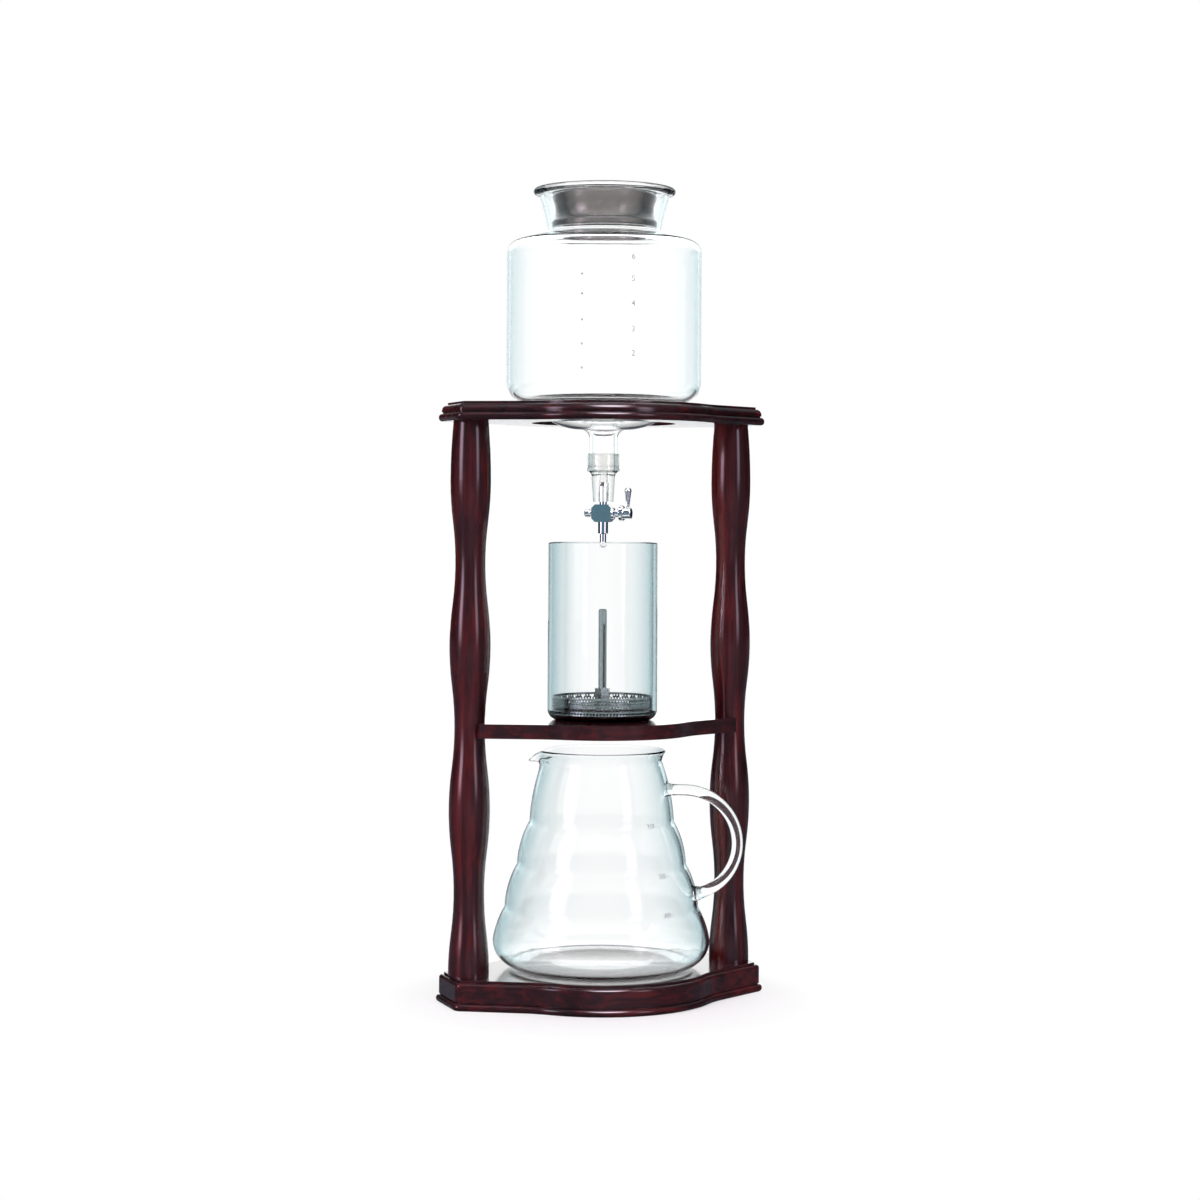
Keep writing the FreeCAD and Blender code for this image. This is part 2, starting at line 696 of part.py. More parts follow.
def tap_sleeve():
    """A soft sleeve: its cup grips the glass outlet and its tail grips the tap's stem."""
    pipe = "outlet_radius + wood_fit"
    cup = "(outlet_radius + sleeve_wall)"
    stem = "stem_diameter / 2 + wood_fit"
    stem_top = "stem_length - sleeve_tail"
    turned_body("tap_sleeve", [
        (pipe, "sleeve_overlap"),
        (pipe, "0"),
        ("sleeve_throat / 2", "0"),
        ("sleeve_throat / 2", stem_top),
        (stem, stem_top),
        (stem, "-sleeve_tail"),
        ("sleeve_tail_end / 2", "-sleeve_tail"),
        ("sleeve_tail_top / 2", "-sleeve_floor", "right", "4"),
        (cup, "0.6"),
        (f"{cup} - 0.2", "sleeve_overlap - 1", "left", "1"),
        (f"{cup} - 1.2", "sleeve_overlap"),
    ], level="outlet_end")


# ---------------------------------------------------------------- drip tap
# The tap's own frame has its origin where the spindle crosses the flow, X along the spindle
# towards the knob and Z up.

def tap_piece(label, path, axis):
    """A turned piece of the tap, in the tap's own frame."""
    return turned_body(label, path, axis, level="tap_level", turn="tap_turn")


def tap_block():
    """An eight-sided block, bored across for the plug and upright for the flow."""
    body = new_body("tap_block", level="tap_level", turn="tap_turn")
    wide, high, cut = "block_width / 2", "block_height / 2", "block_chamfer"
    outline = []
    for side, up, order in (("", "", 1), ("-", "", -1), ("-", "-", 1), ("", "-", -1)):
        corners = [(f"{side}({wide})", f"{up}({high} - {cut})"),
                   (f"{side}({wide} - {cut})", f"{up}({high})")]
        outline += corners[::order]
    block = add_feature(body, "Pad", trace(new_sketch(body, "XZ_Plane"), outline),
                        Length="block_depth")
    block.SideType = "Symmetric"
    bore = "plug_diameter / 2 + running_gap"
    thread = f"{wide} - collar_thread_length"
    cut_turned(body, [
        (f"-{wide} - 1", "0"),
        (f"{wide} + 1", "0"),
        (f"{wide} + 1", "collar_thread / 2 + wood_fit"),
        (thread, "collar_thread / 2 + wood_fit"),
        (thread, bore),
        (f"-{wide} - 1", bore),
    ], "H_Axis")
    socket, flow = "stem_spigot / 2 + wood_fit", "flow_bore / 2"
    cut_turned(body, [
        ("0", f"{high} + 1"),
        ("0", f"-{high} - 1"),
        (socket, f"-{high} - 1"),
        (socket, f"socket_depth - {high}"),
        (flow, f"socket_depth - {high}"),
        (flow, f"{high} - socket_depth"),
        (socket, f"{high} - socket_depth"),
        (socket, f"{high} + 1"),
    ])


def tap_stem():
    """The hollow inlet stem: a spigot in the block, a thin neck and a barbed end in the sleeve."""
    high, bore = "block_height / 2", "flow_bore / 2"
    barb = "stem_diameter / 2"
    top = f"{high} + stem_neck + stem_length"
    tap_piece("tap_stem", [
        (bore, f"{high} - socket_depth"),
        ("stem_spigot / 2", f"{high} - socket_depth"),
        ("stem_spigot / 2", high),
        (f"{barb} - 0.5", high),
        (f"{barb} - 0.5", f"{high} + stem_neck"),
        (barb, f"{high} + stem_neck + 0.5"),
        (barb, f"{top} - 2.5"),
        (f"{barb} - 0.7", top),
        (bore, top),
    ], "V_Axis")


def tap_collar():
    """The threaded collar that closes the block's open side and guides the spindle."""
    wide, bore = "block_width / 2", "spindle_diameter / 2 + running_gap"
    end = f"{wide} + collar_length"
    tap_piece("tap_collar", [
        (f"{wide} - collar_thread_length", bore),
        (f"{wide} - collar_thread_length", "collar_thread / 2"),
        (wide, "collar_thread / 2"),
        (wide, "collar_diameter / 2 + 0.9"),
        (f"{wide} + 0.9", "collar_diameter / 2 + 0.9"),
        (f"{wide} + 1.4", "collar_diameter / 2"),
        (end, "collar_diameter / 2"),
        (end, bore),
    ], "H_Axis")


def tap_plug():
    """The plug that opens and shuts the flow, with two ring grooves, the spindle that the knob
    sits on and a tail for the nut."""
    wide, radius = "block_width / 2", "plug_diameter / 2"
    shoulder = f"{wide} - collar_thread_length - side_gap"
    half, depth = "ring_wire / 2", "ring_wire"
    tail_end = f"-{wide} - side_gap - washer_thickness - plug_nut_neck - plug_nut_length"
    path = [(tail_end, "0"), (tail_end, "tail_diameter / 2"), (f"-{wide}", "tail_diameter / 2"),
            (f"-{wide}", radius)]
    for side in ("-", ""):
        start, end = f"{side}ring_place - {half}", f"{side}ring_place + {half}"
        path += [(start, radius), (start, f"{radius} - {depth}"), (end, f"{radius} - {depth}"),
                 (end, radius)]
    path += [(shoulder, radius), (shoulder, "spindle_diameter / 2"),
             ("spindle_reach", "spindle_diameter / 2"), ("spindle_reach", "0")]
    body = tap_piece("tap_plug", path, "H_Axis")
    flow = circle(new_sketch(body, "XY_Plane", radius), "0", "0", "flow_bore / 2")
    cut_pocket(body, flow, "plug_diameter")


def plug_rings():
    """Two soft seal rings in the plug's grooves, half a running gap clear all round."""
    centre = "plug_diameter / 2 - ring_wire / 2 + running_gap / 2"
    wire = "ring_wire / 2 - running_gap / 2"
    rings = []
    for side in ("-", ""):
        body = tap_piece("plug_ring", ring_path(f"{side}ring_place", centre, wire), "H_Axis")
        pieces.remove(body)
        rings.append(body)
    both = document.addObject("Part::Compound", "plug_rings")
    both.Links = rings
    both.Label = "plug_rings"
    pieces.append(both)


def ring_path(along, centre, wire):
    """The round section of a ring, as two half circles."""
    return [(f"{along}", f"{centre} - ({wire})", "left", wire),
            (f"{along} + ({wire})", centre, "left", wire),
            (f"{along}", f"{centre} + ({wire})", "left", wire),
            (f"{along} - ({wire})", centre, "left", wire)]


def plug_washer_and_nut():
    """The washer and nut that hold the plug in from its small end."""
    face = "-block_width / 2 - side_gap"
    bore = "tail_diameter / 2 + wood_fit"
    outer = f"{face} - washer_thickness"
    tap_piece("plug_washer", [
        (outer, bore), (outer, "washer_diameter / 2"), (face, "washer_diameter / 2"),
        (face, bore)], "H_Axis")
    head = f"{outer} - plug_nut_neck"
    end = f"{head} - plug_nut_length"
    radius = "plug_nut_diameter / 2"
    tap_piece("plug_nut", [
        (end, bore), (end, f"{radius} - 0.5"), (f"{end} + 0.5", radius), (head, radius),
        (head, f"{radius} - 0.6"), (outer, f"{radius} - 0.6"), (outer, bore)], "H_Axis")


def tap_knob():
    """The knob on the spindle: a wide rim and a hub, drilled for the lever."""
    hub = "knob_diameter / 2"
    end = "knob_outer + knob_length"
    bore = "spindle_diameter / 2 + wood_fit"
    body = tap_piece("tap_knob", [
        ("knob_start", bore),
        ("knob_start", "knob_rim / 2 - 0.5"),
        ("knob_start + 0.5", "knob_rim / 2"),
        ("knob_outer - 0.5", "knob_rim / 2"),
        ("knob_outer", "knob_rim / 2 - 0.5"),
        ("knob_outer", hub),
        (f"{end} - 0.6", hub, "right", "0.6"),
        (end, f"{hub} - 0.6"),
        (end, "0"),
        ("spindle_reach", "0"),
        ("spindle_reach", bore),
    ], "H_Axis")
    socket = circle(new_sketch(body, "XY_Plane", hub), "knob_outer + lever_place", "0",
                    "lever_root / 2 + wood_fit")
    cut_pocket(body, socket, f"{hub} - spindle_diameter / 2 - 0.4")


def tap_lever():
    """A slender pear-shaped lever that stands on the knob."""
    foot = "spindle_diameter / 2 + 0.4"
    head = "lever_head / 2"
    body = new_body("tap_lever", level="tap_level", turn="tap_turn")
    middle = "(knob_outer + lever_place)"
    sketch = trace(new_sketch(body, "XZ_Plane"), [
        (middle, foot),
        (f"{middle} + lever_root / 2", foot),
        (f"{middle} + lever_root / 2", "knob_diameter / 2 + 0.6"),
        (f"{middle} + {head}", f"lever_height - {head}", "left", head),
        (middle, "lever_height"),
    ])
    feature = add_feature(body, "Revolution", sketch, Angle="360")
    feature.ReferenceAxis = (sketch, ["Edge5"])


def drip_spout():
    """The turned spout under the block, which ends in a bead that the drops form on."""
    high, bore = "block_height / 2", "drip_bore / 2"
    collar_end = f"-{high} - drip_collar_length"
    tube_end = f"{collar_end} - drip_tube_length"
    tip = f"{tube_end} - drip_bead_length"
    bead, collar = "drip_bead / 2", "drip_collar / 2"
    tap_piece("drip_spout", [
        (bore, f"socket_depth - {high}"),
        (bore, tip),
        (f"{bead} - drip_bead_round", tip, "left", "drip_bead_round"),
        (bead, f"{tip} + drip_bead_round"),
        (bead, f"{tube_end} - {bead} + drip_tube / 2", "left", f"{bead} - drip_tube / 2"),
        ("drip_tube / 2", tube_end),
        ("drip_tube / 2", collar_end),
        (f"{collar} - 0.5", collar_end),
        (collar, f"{collar_end} + 0.5"),
        (collar, f"-{high}"),
        ("stem_spigot / 2", f"-{high}"),
        ("stem_spigot / 2", f"socket_depth - {high}"),
    ], "V_Axis")


# ---------------------------------------------------------------- brewer and filter

def brewer_glass():
    """A straight glass with a rounded foot and a round outlet in its floor."""
    radius, wall, corner = "brewer_diameter / 2", "brewer_wall", "brewer_corner"
    turned_body("brewer_glass", [
        ("brewer_outlet / 2", "0"),
        (f"{radius} - {corner}", "0", "left", corner),
        (radius, corner),
        (radius, f"brewer_height - {wall} / 2", "left", f"{wall} / 2"),
        (f"{radius} - {wall} / 2", "brewer_height", "left", f"{wall} / 2"),
        ("brewer_inner", f"brewer_height - {wall} / 2"),
        ("brewer_inner", f"brewer_floor + {corner} - {wall}", "right", f"{corner} - {wall}"),
        (f"{radius} - {corner}", "brewer_floor"),
        ("brewer_outlet / 2", "brewer_floor"),
    ], level="shelf_top")


def filter_gasket():
    """The soft ring that seats the filter on the brewer's floor."""
    outer = "(brewer_inner - gasket_gap)"
    turned_body("filter_gasket", [
        (f"{outer} - gasket_width", "0"),
        (f"{outer} - gasket_round", "0", "left", "gasket_round"),
        (outer, "gasket_round"),
        (outer, "gasket_height"),
        (f"{outer} - gasket_width", "gasket_height"),
    ], level="gasket_under")


def filter_cup():
    """A shallow steel cup, perforated in rings over its floor and all round its wall."""
    body = turned_body("filter_cup", [
        ("tube_diameter / 2 + wood_fit", "0"),
        ("cup_radius - 1.5", "0", "left", "1.5"),
        ("cup_radius", "1.5"),
        ("cup_radius", "cup_height"),
        ("cup_radius - cup_sheet", "cup_height"),
        ("cup_radius - cup_sheet", "1.5", "right", "1.5 - cup_sheet"),
        ("cup_radius - 1.5", "cup_sheet"),
        ("tube_diameter / 2 + wood_fit", "cup_sheet"),
    ], level="cup_under")
    for ring in range(2, 1 + int(value("(cup_radius - cup_hole - 2) / cup_hole_pitch"))):
        away = f"{ring} * cup_hole_pitch"
        hole = circle(new_sketch(body, "XY_Plane", "cup_sheet"), away, "0", "cup_hole / 2")
        spread(body, cut_pocket(body, hole, "cup_sheet"), away)
    hole = circle(new_sketch(body, "YZ_Plane", "cup_radius - 2 * cup_sheet"), "0",
                  "cup_height - 1.2 * cup_hole", "cup_hole / 2")
    spread(body, cut_pocket(body, hole, "3 * cup_sheet", True), "cup_radius")


def spread(body, feature, radius):
    """Repeat a hole round the Z axis, as many times as its circle has room for."""
    pattern = body.newObject("PartDesign::PolarPattern", body.Label + "_pattern")
    pattern.Originals = [feature]
    axis = next(item for item in body.Origin.OriginFeatures if item.Role == "Z_Axis")
    pattern.Axis = (axis, [""])
    pattern.Angle = 360
    pattern.setExpression("Occurrences", bind(f"round(2 * pi * ({radius}) / cup_hole_pitch)"))
    body.Tip = pattern
    cuts.append(pattern)


def filter_tube():
    """The upright tube in the filter's middle, slotted below its plain top, with a flange that
    the cup's floor rests on."""
    radius, bore = "tube_diameter / 2", "tube_bore / 2"
    body = turned_body("filter_tube", [
        (bore, "-tube_flange_height"),
        ("tube_flange / 2", "-tube_flange_height"),
        ("tube_flange / 2", "0"),
        (radius, "0"),
        (radius, "tube_height - 0.5"),
        (f"{radius} - 0.5", "tube_height"),
        (bore, "tube_height"),
    ], level="cup_under")
    start = "cup_sheet + nut_height + 0.5"
    slot = trace(new_sketch(body, "XZ_Plane"), [
        ("-tube_slot / 2", start), ("tube_slot / 2", start),
        ("tube_slot / 2", "tube_height - tube_plain"),
        ("-tube_slot / 2", "tube_height - tube_plain")])
    cut = cut_pocket(body, slot, "tube_diameter + 2")
    cut.SideType = "Symmetric"


def filter_nut():
    """The tall six-sided nut that clamps the cup's floor to the tube."""
    body = new_body("filter_nut", level="cup_under")
    side = "nut_width / sqrt(3)"
    half = "nut_width / 2"
    outline = [(side, "0"), (f"{side} / 2", half), (f"-{side} / 2", half), (f"-{side}", "0"),
               (f"-{side} / 2", f"-{half}"), (f"{side} / 2", f"-{half}")]
    sketch = trace(new_sketch(body, "XY_Plane", "cup_sheet"), outline)
    add_feature(body, "Pad", sketch, Length="nut_height")
    top = "cup_sheet + nut_height"
    bore = circle(new_sketch(body, "XY_Plane", top), "0", "0", "tube_diameter / 2 + wood_fit")
    cut_pocket(body, bore, "nut_height")


# ---------------------------------------------------------------- jug

def jug_outer():
    """The jug's outer line from its foot to its rim, as (radius, height, bend) corners, where the
    bend leads to the next corner."""
    belly, turn = "jug_belly_radius", "jug_belly_end"
    line = [
        ("jug_foot / 2", "0", None),
        (f"jug_radius - {belly} + {belly} * sin({turn})",
         f"jug_belly_height - {belly} * cos({turn})", ("left", belly)),
        ("jug_radius", "jug_belly_height", ("left", "jug_rib_bulge")),
    ]
    for groove in (2, 1, 0):
        bend = ("left", "jug_rib_bulge" if groove else "jug_neck_bulge")
        line.append((f"jug_rib_diameter / 2 + {groove} * jug_rib_growth",
                     f"jug_rib_first - {groove} * jug_rib_pitch", bend))
    line.append(("jug_waist_diameter / 2", "jug_height - jug_rim_rise",
                 ("right", "jug_rim_radius")))
    line.append(("jug_waist_diameter / 2 + jug_rim_flare", "jug_height", None))
    return line


def jug_inner():
    """The jug's inner line from the rim down to the floor, a wall's thickness inside."""
    belly = "(jug_belly_radius - jug_wall)"
    drop = "(jug_belly_height - jug_floor)"
    line = jug_outer()[2:]
    path = []
    for index in range(len(line) - 1, -1, -1):
        radius, height, _ = line[index]
        turn, bend = line[index - 1][2] if index else ("left", belly)
        back = "left" if turn == "right" else "right"
        path.append((f"{radius} - jug_wall", height, back, bend))
    path.append((f"jug_radius - jug_belly_radius + sqrt({belly}^2 - {drop}^2)", "jug_floor"))
    return path + [("0", "jug_floor")]


def jug_body():
    """A ribbed glass jug: a wide belly, rings that step in up to the neck, a flared rim and a
    small pouring lip, which points to local -X."""
    body = new_body("jug_body", level="base_height", turn="jug_turn")
    path = [("0", "jug_foot_hollow"),
            ("jug_foot / 2 - jug_foot_width - 3", "jug_foot_hollow"),
            ("jug_foot / 2 - jug_foot_width", "0")]
    path += [(radius, height) + (bend or ()) for radius, height, bend in jug_outer()]
    add_turned(body, path + [("0", "jug_height")])
    lip = [("lip_width / 2", "jug_height + lip_rise", "jug_height", "lip_depth"),
           ("lip_tip_width / 2", "jug_height - lip_fall", "jug_height - lip_fall - 0.2",
            "lip_tip_depth - 0.2")]
    loft_lip(body, "AdditiveLoft", lip)
    rim = "jug_waist_diameter / 2 + jug_rim_flare - jug_wall"
    cut_turned(body, [("0", "jug_height + 5"), (rim, "jug_height + 5")] + jug_inner())
    hollow = [("lip_width / 2 - jug_wall", "jug_height + lip_rise + 1", "jug_height",
               "lip_depth - jug_wall"),
              ("lip_tip_width / 2 - lip_tip_wall", "jug_height + lip_rise",
               "jug_height - lip_fall", "lip_tip_depth - lip_tip_wall")]
    cuts.append(loft_lip(body, "SubtractiveLoft", hollow))


def loft_lip(body, kind, ends):
    """Add the pouring lip's trough, or cut its hollow, from a D-shaped section inside the neck to
    one at the tip. Each end is (half width, top, shoulder, depth of the round bottom)."""
    starts = ("lip_root", "jug_waist_diameter / 2 + jug_rim_flare + lip_reach")
    sections = []
    for away, (half, top, shoulder, depth) in zip(starts, ends):
        radius = f"(({half})^2 + ({depth})^2) / (2 * ({depth}))"
        sections.append(trace(new_sketch(body, "YZ_Plane", f"-({away})"), [
            (half, top), (f"-({half})", top), (f"-({half})", shoulder, "left", radius),
            (half, shoulder)]))
    loft = add_feature(body, kind, sections[0])
    loft.Sections = [sections[1]]
    loft.Ruled = True
    return loft


def jug_handle():
    """A round glass rod bent into a loop and cut back to the jug's outer face."""
    body = new_body("jug_handle", level="base_height", turn="jug_turn")
    start = "jug_waist_diameter / 2 - 5"
    crown = "handle_middle + handle_loop"
    spine = trace(new_sketch(body, "XZ_Plane"), [
        (start, crown),
        ("handle_place", crown, "right", "handle_loop"),
        ("handle_place + handle_loop", "handle_middle", "right", "handle_loop"),
        ("handle_place", "handle_middle - handle_loop")], closed=False)
    rod = circle(new_sketch(body, "YZ_Plane", start), "0", crown, "handle_rod / 2")
    pipe = add_feature(body, "AdditivePipe", rod)
    pipe.Spine = (spine, [])
    outer = jug_outer()
    path = [("0", "0")] + [(radius, height) + (bend or ()) for radius, height, bend in outer]
    cut_turned(body, path + [("0", "jug_height")])


# ---------------------------------------------------------------- whole tower

def build():
    fill_sheet()
    base_plate()
    top_plate()
    post("left_post", "-post_place", "180")
    post("right_post", "post_place", "0")
    brewer_shelf()
    base_screws()
    dowels()
    water_chamber()
    lid()
    tap_sleeve()
    tap_block()
    tap_stem()
    tap_collar()
    tap_plug()
    plug_rings()
    plug_washer_and_nut()
    tap_knob()
    tap_lever()
    drip_spout()
    brewer_glass()
    filter_gasket()
    filter_cup()
    filter_tube()
    filter_nut()
    jug_body()
    jug_handle()


def check():
    """Stop if any object failed or any piece is empty or broken."""
    document.recompute()
    for item in document.Objects:
        if "Invalid" in item.State or "Error" in item.State:
            raise ValueError(f"{item.Label} is {item.State}")
    for cut in cuts:
        if cut.Shape.Volume > cut.BaseFeature.Shape.Volume - 1e-3:
            raise ValueError(f"{cut.Label} removes nothing")
    for piece in pieces:
        if piece.Shape.isNull() or not piece.Shape.isValid():
            raise ValueError(f"{piece.Label} has no valid shape")


def export():
    """Write each piece to its own STEP file, named by its label."""
    os.makedirs("parts", exist_ok=True)
    for piece in pieces:
        piece.Shape.exportStep(f"parts/{piece.Label}.step")
        print(f"{piece.Label}: {len(piece.Shape.Solids)} solid(s), {piece.Shape.Volume:.1f} mm3")


build()
check()
export()
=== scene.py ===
"""Looks of a cold drip coffee tower: dark red lacquered wood, clear glass, soft silicone and
bright metal, laid over the tower's packed construction.

It is laid out as an add-on. Sizes in the settings are in metres. Profiles are written in
millimetres as (radius, height) corners round the axis that the glass pieces stand on, and a third
number is the radius of the arc to the next corner: above zero it turns left, below zero right.
"""

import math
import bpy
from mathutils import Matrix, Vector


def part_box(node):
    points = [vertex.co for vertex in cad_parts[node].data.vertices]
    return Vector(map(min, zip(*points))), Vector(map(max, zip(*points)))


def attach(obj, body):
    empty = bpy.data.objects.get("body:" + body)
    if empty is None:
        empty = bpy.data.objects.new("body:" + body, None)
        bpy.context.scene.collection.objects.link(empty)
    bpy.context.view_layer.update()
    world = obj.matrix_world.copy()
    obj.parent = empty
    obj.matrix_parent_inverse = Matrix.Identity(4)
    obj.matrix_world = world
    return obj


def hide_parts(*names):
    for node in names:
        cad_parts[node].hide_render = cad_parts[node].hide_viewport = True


bl_info = {
    "name": "Cold Drip Tower",
    "version": (1, 0, 0),
    "blender": (4, 5, 0),
    "location": "View3D > Sidebar > Drip Tower",
    "description": "Builds the wood, glass, silicone and metal of a cold drip coffee tower",
    "category": "Object",
}

import bmesh
import bpy
from bpy.props import FloatProperty, FloatVectorProperty, IntProperty, PointerProperty
from mathutils import Matrix, Vector

MM = 0.001
TURN = 2 * math.pi
UP = (0.0, 0.0, 1.0)
WELD = 1e-7          # metres within which points are one
JUG_TURN = -30.0     # degrees from the stand's right side to the jug's handle
PLUG_RADIUS = 27.4   # lid's plug, in mm

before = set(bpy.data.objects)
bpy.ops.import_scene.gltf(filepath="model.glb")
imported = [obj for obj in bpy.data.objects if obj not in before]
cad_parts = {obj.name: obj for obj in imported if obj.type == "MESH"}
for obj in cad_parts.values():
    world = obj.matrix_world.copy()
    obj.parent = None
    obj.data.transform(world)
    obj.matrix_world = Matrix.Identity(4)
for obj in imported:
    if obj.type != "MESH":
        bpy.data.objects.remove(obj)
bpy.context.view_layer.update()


def low(node):
    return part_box(node)[0]


def high(node):
    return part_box(node)[1]


def reach(node):
    """A round piece's greatest radius, in mm."""
    return (high(node).x - low(node).x) / 2 / MM


def tall(node):
    """A piece's height, in mm."""
    return (high(node).z - low(node).z) / MM


def times(values, share):
    """A colour or a scale with each of its numbers multiplied."""
    return tuple(value * share for value in values)


# ---------------------------------------------------------------- settings

def colour_setting(name, description, default):
    return FloatVectorProperty(name=name, description=description, subtype="COLOR", size=3,
                               min=0.0, max=1.0, default=default)


def length_setting(name, description, default):
    return FloatProperty(name=name, description=description, unit="LENGTH", subtype="DISTANCE",
                         min=0.0, precision=5, default=default)


def share_setting(name, description, default):
    return FloatProperty(name=name, description=description, subtype="FACTOR", min=0.0, max=1.0,
                         default=default)


class WoodSettings(bpy.types.PropertyGroup):
    dark: colour_setting("Dark grain", "Stain in the darkest grain", (0.010, 0.0024, 0.0034))
    body: colour_setting("Body", "Stain over most of the wood", (0.030, 0.0044, 0.0062))
    glow: colour_setting("Glow", "Red that shows where the stain is thin", (0.12, 0.009, 0.0085))
    grain: length_setting("Grain", "Width of a grain streak", 0.0024)
    gloss: share_setting("Lacquer roughness", "Roughness of the clear lacquer", 0.13)


class GlassSettings(bpy.types.PropertyGroup):
    clear: colour_setting("Clear", "Glass seen face on", (0.993, 0.999, 0.999))
    edge: colour_setting("Edge", "Glass seen along its surface", (0.10, 0.38, 0.44))
    index: FloatProperty(name="Index", description="Index of refraction", min=1.0, max=2.0,
                         default=1.47)
    steps: IntProperty(name="Steps", description="Steps round a turned glass piece", min=32,
                       max=256, default=160)


class SoftSettings(bpy.types.PropertyGroup):
    sleeve: colour_setting("Sleeve", "Milky silicone of the tap's sleeve", (0.99, 0.99, 0.97))
    seal: colour_setting("Lid seal", "Taupe silicone of the lid's band", (0.235, 0.225, 0.205))
    black: colour_setting("Gasket", "Black silicone of the filter's gasket", (0.012, 0.013, 0.014))


class MetalSettings(bpy.types.PropertyGroup):
    chrome: colour_setting("Chrome", "Plating of the tap", (0.95, 0.96, 0.97))
    steel: colour_setting("Steel", "Sheet and tube of the filter", (0.26, 0.32, 0.33))
    hole: length_setting("Hole", "Diameter of the filter's holes", 0.0011)
    pitch: length_setting("Hole pitch", "Distance between the filter's holes", 0.0019)


class MarkSettings(bpy.types.PropertyGroup):
    ink: colour_setting("Ink", "Grey of the printed marks", (0.30, 0.33, 0.34))
    height: length_setting("Height", "Height of the printed figures", 0.0048)
    lift: length_setting("Lift", "Ink's distance from the glass", 0.00006)


class StageSettings(bpy.types.PropertyGroup):
    azimuth: FloatProperty(name="Azimuth", description="Where the camera stands, from the front",
                           subtype="ANGLE", default=math.radians(-20.96))
    distance: length_setting("Distance", "Camera to the tower's axis", 1.548)
    height: length_setting("Height", "Camera's height over the floor", 0.284)
    lens: FloatProperty(name="Lens", description="Focal length in mm", default=77.4)
    floor: colour_setting("Floor", "Colour of the floor", (0.93, 0.93, 0.93))


# ---------------------------------------------------------------- shader sums

class Wire:
    """A node's output that takes part in Python sums. Each operator adds its Math node."""

    def __init__(self, recipe, socket):
        self.recipe = recipe
        self.socket = socket

    def sum(self, operation, *numbers):
        return self.recipe.maths(operation, *numbers)

    def __add__(self, other):
        return self.sum("ADD", self, other)

    def __radd__(self, other):
        return self.sum("ADD", other, self)

    def __sub__(self, other):
        return self.sum("SUBTRACT", self, other)

    def __rsub__(self, other):
        return self.sum("SUBTRACT", other, self)

    def __mul__(self, other):
        return self.sum("MULTIPLY", self, other)

    def __rmul__(self, other):
        return self.sum("MULTIPLY", other, self)

    def __truediv__(self, other):
        return self.sum("DIVIDE", self, other)

    def __pow__(self, other):
        return self.sum("POWER", self, other)

    def __gt__(self, other):
        return self.sum("GREATER_THAN", self, other)

    def root(self):
        return self.sum("SQRT", self)

    def between(self, start, end):
        """0 at start, 1 at end, and a straight run between them."""
        return self.recipe.node("ShaderNodeMapRange", {"clamp": True},
                                {"Value": self, "From Min": start, "From Max": end})


class Recipe:
    """A node tree under construction, of a material or a world."""

    def __init__(self, holder):
        holder.use_nodes = True
        self.tree = holder.node_tree
        self.tree.nodes.clear()

    def node(self, kind, settings=None, values=None, output=0):
        """Adds a node, sets it up, feeds its inputs and returns one of its outputs."""
        node = self.tree.nodes.new(kind)
        for key, setting in (settings or {}).items():
            if key == "stops":
                self.set_stops(node.color_ramp, setting)
            else:
                setattr(node, key, setting)
        for key, value in (values or {}).items():
            self.feed(node.inputs[key], value)
        return Wire(self, node.outputs[output]) if len(node.outputs) else None

    def feed(self, socket, value):
        if isinstance(value, Wire):
            self.tree.links.new(value.socket, socket)
        elif socket.type == "RGBA" and len(value) == 3:
            socket.default_value = (*value, 1.0)
        else:
            socket.default_value = value

    @staticmethod
    def set_stops(ramp, stops):
        while len(ramp.elements) < len(stops):
            ramp.elements.new(1.0)
        for element, (position, colour) in zip(ramp.elements, stops):
            element.position = position
            element.color = (*colour, 1.0)

    def place(self):
        return self.node("ShaderNodeTexCoord", output="Object")

    def maths(self, operation, *numbers):
        """A Math node's result, from one, two or three numbers or wires."""
        return self.node("ShaderNodeMath", {"operation": operation}, dict(enumerate(numbers)))

    def scaled(self, vector, scale):
        return self.node("ShaderNodeVectorMath", {"operation": "MULTIPLY"},
                         {0: vector, 1: scale})

    def length(self, vector):
        return self.node("ShaderNodeVectorMath", {"operation": "LENGTH"}, {0: vector}, "Value")

    def along(self, vector, axis):
        """How far a vector reaches along an axis."""
        return self.node("ShaderNodeVectorMath", {"operation": "DOT_PRODUCT"},
                         {0: vector, 1: axis}, "Value")

    def turned_away(self):
        """0 where a surface faces the eye, 1 where it is seen along its face."""
        return self.node("ShaderNodeLayerWeight", None, {"Blend": 0.5}, "Facing")

    def rays(self, *names):
        """What kind of ray arrives, as one output of Light Path for each name."""
        return [self.node("ShaderNodeLightPath", output=name) for name in names]

    def noise(self, vector, scale, detail=2.0, roughness=0.5, distortion=0.0):
        return self.node("ShaderNodeTexNoise", None,
                         {"Vector": vector, "Scale": scale, "Detail": detail,
                          "Roughness": roughness, "Distortion": distortion}, "Fac")

    def blend(self, share, first, second, kind="MIX"):
        return self.node("ShaderNodeMix", {"data_type": "RGBA", "blend_type": kind},
                         {0: share, 6: first, 7: second}, 2)

    def bump(self, height, strength, distance):
        return self.node("ShaderNodeBump", None,
                         {"Height": height, "Strength": strength, "Distance": distance}, "Normal")

    def surface(self, **values):
        """Ends a material in one Principled shader. Underscores in a name stand for spaces."""
        named = {key.replace("_", " "): value for key, value in values.items()}
        shader = self.node("ShaderNodeBsdfPrincipled", None, named)
        self.node("ShaderNodeOutputMaterial", None, {"Surface": shader})


def material(name):
    """A new material and its recipe."""
    made = bpy.data.materials.new(name)
    return made, Recipe(made)


# ---------------------------------------------------------------- finishes

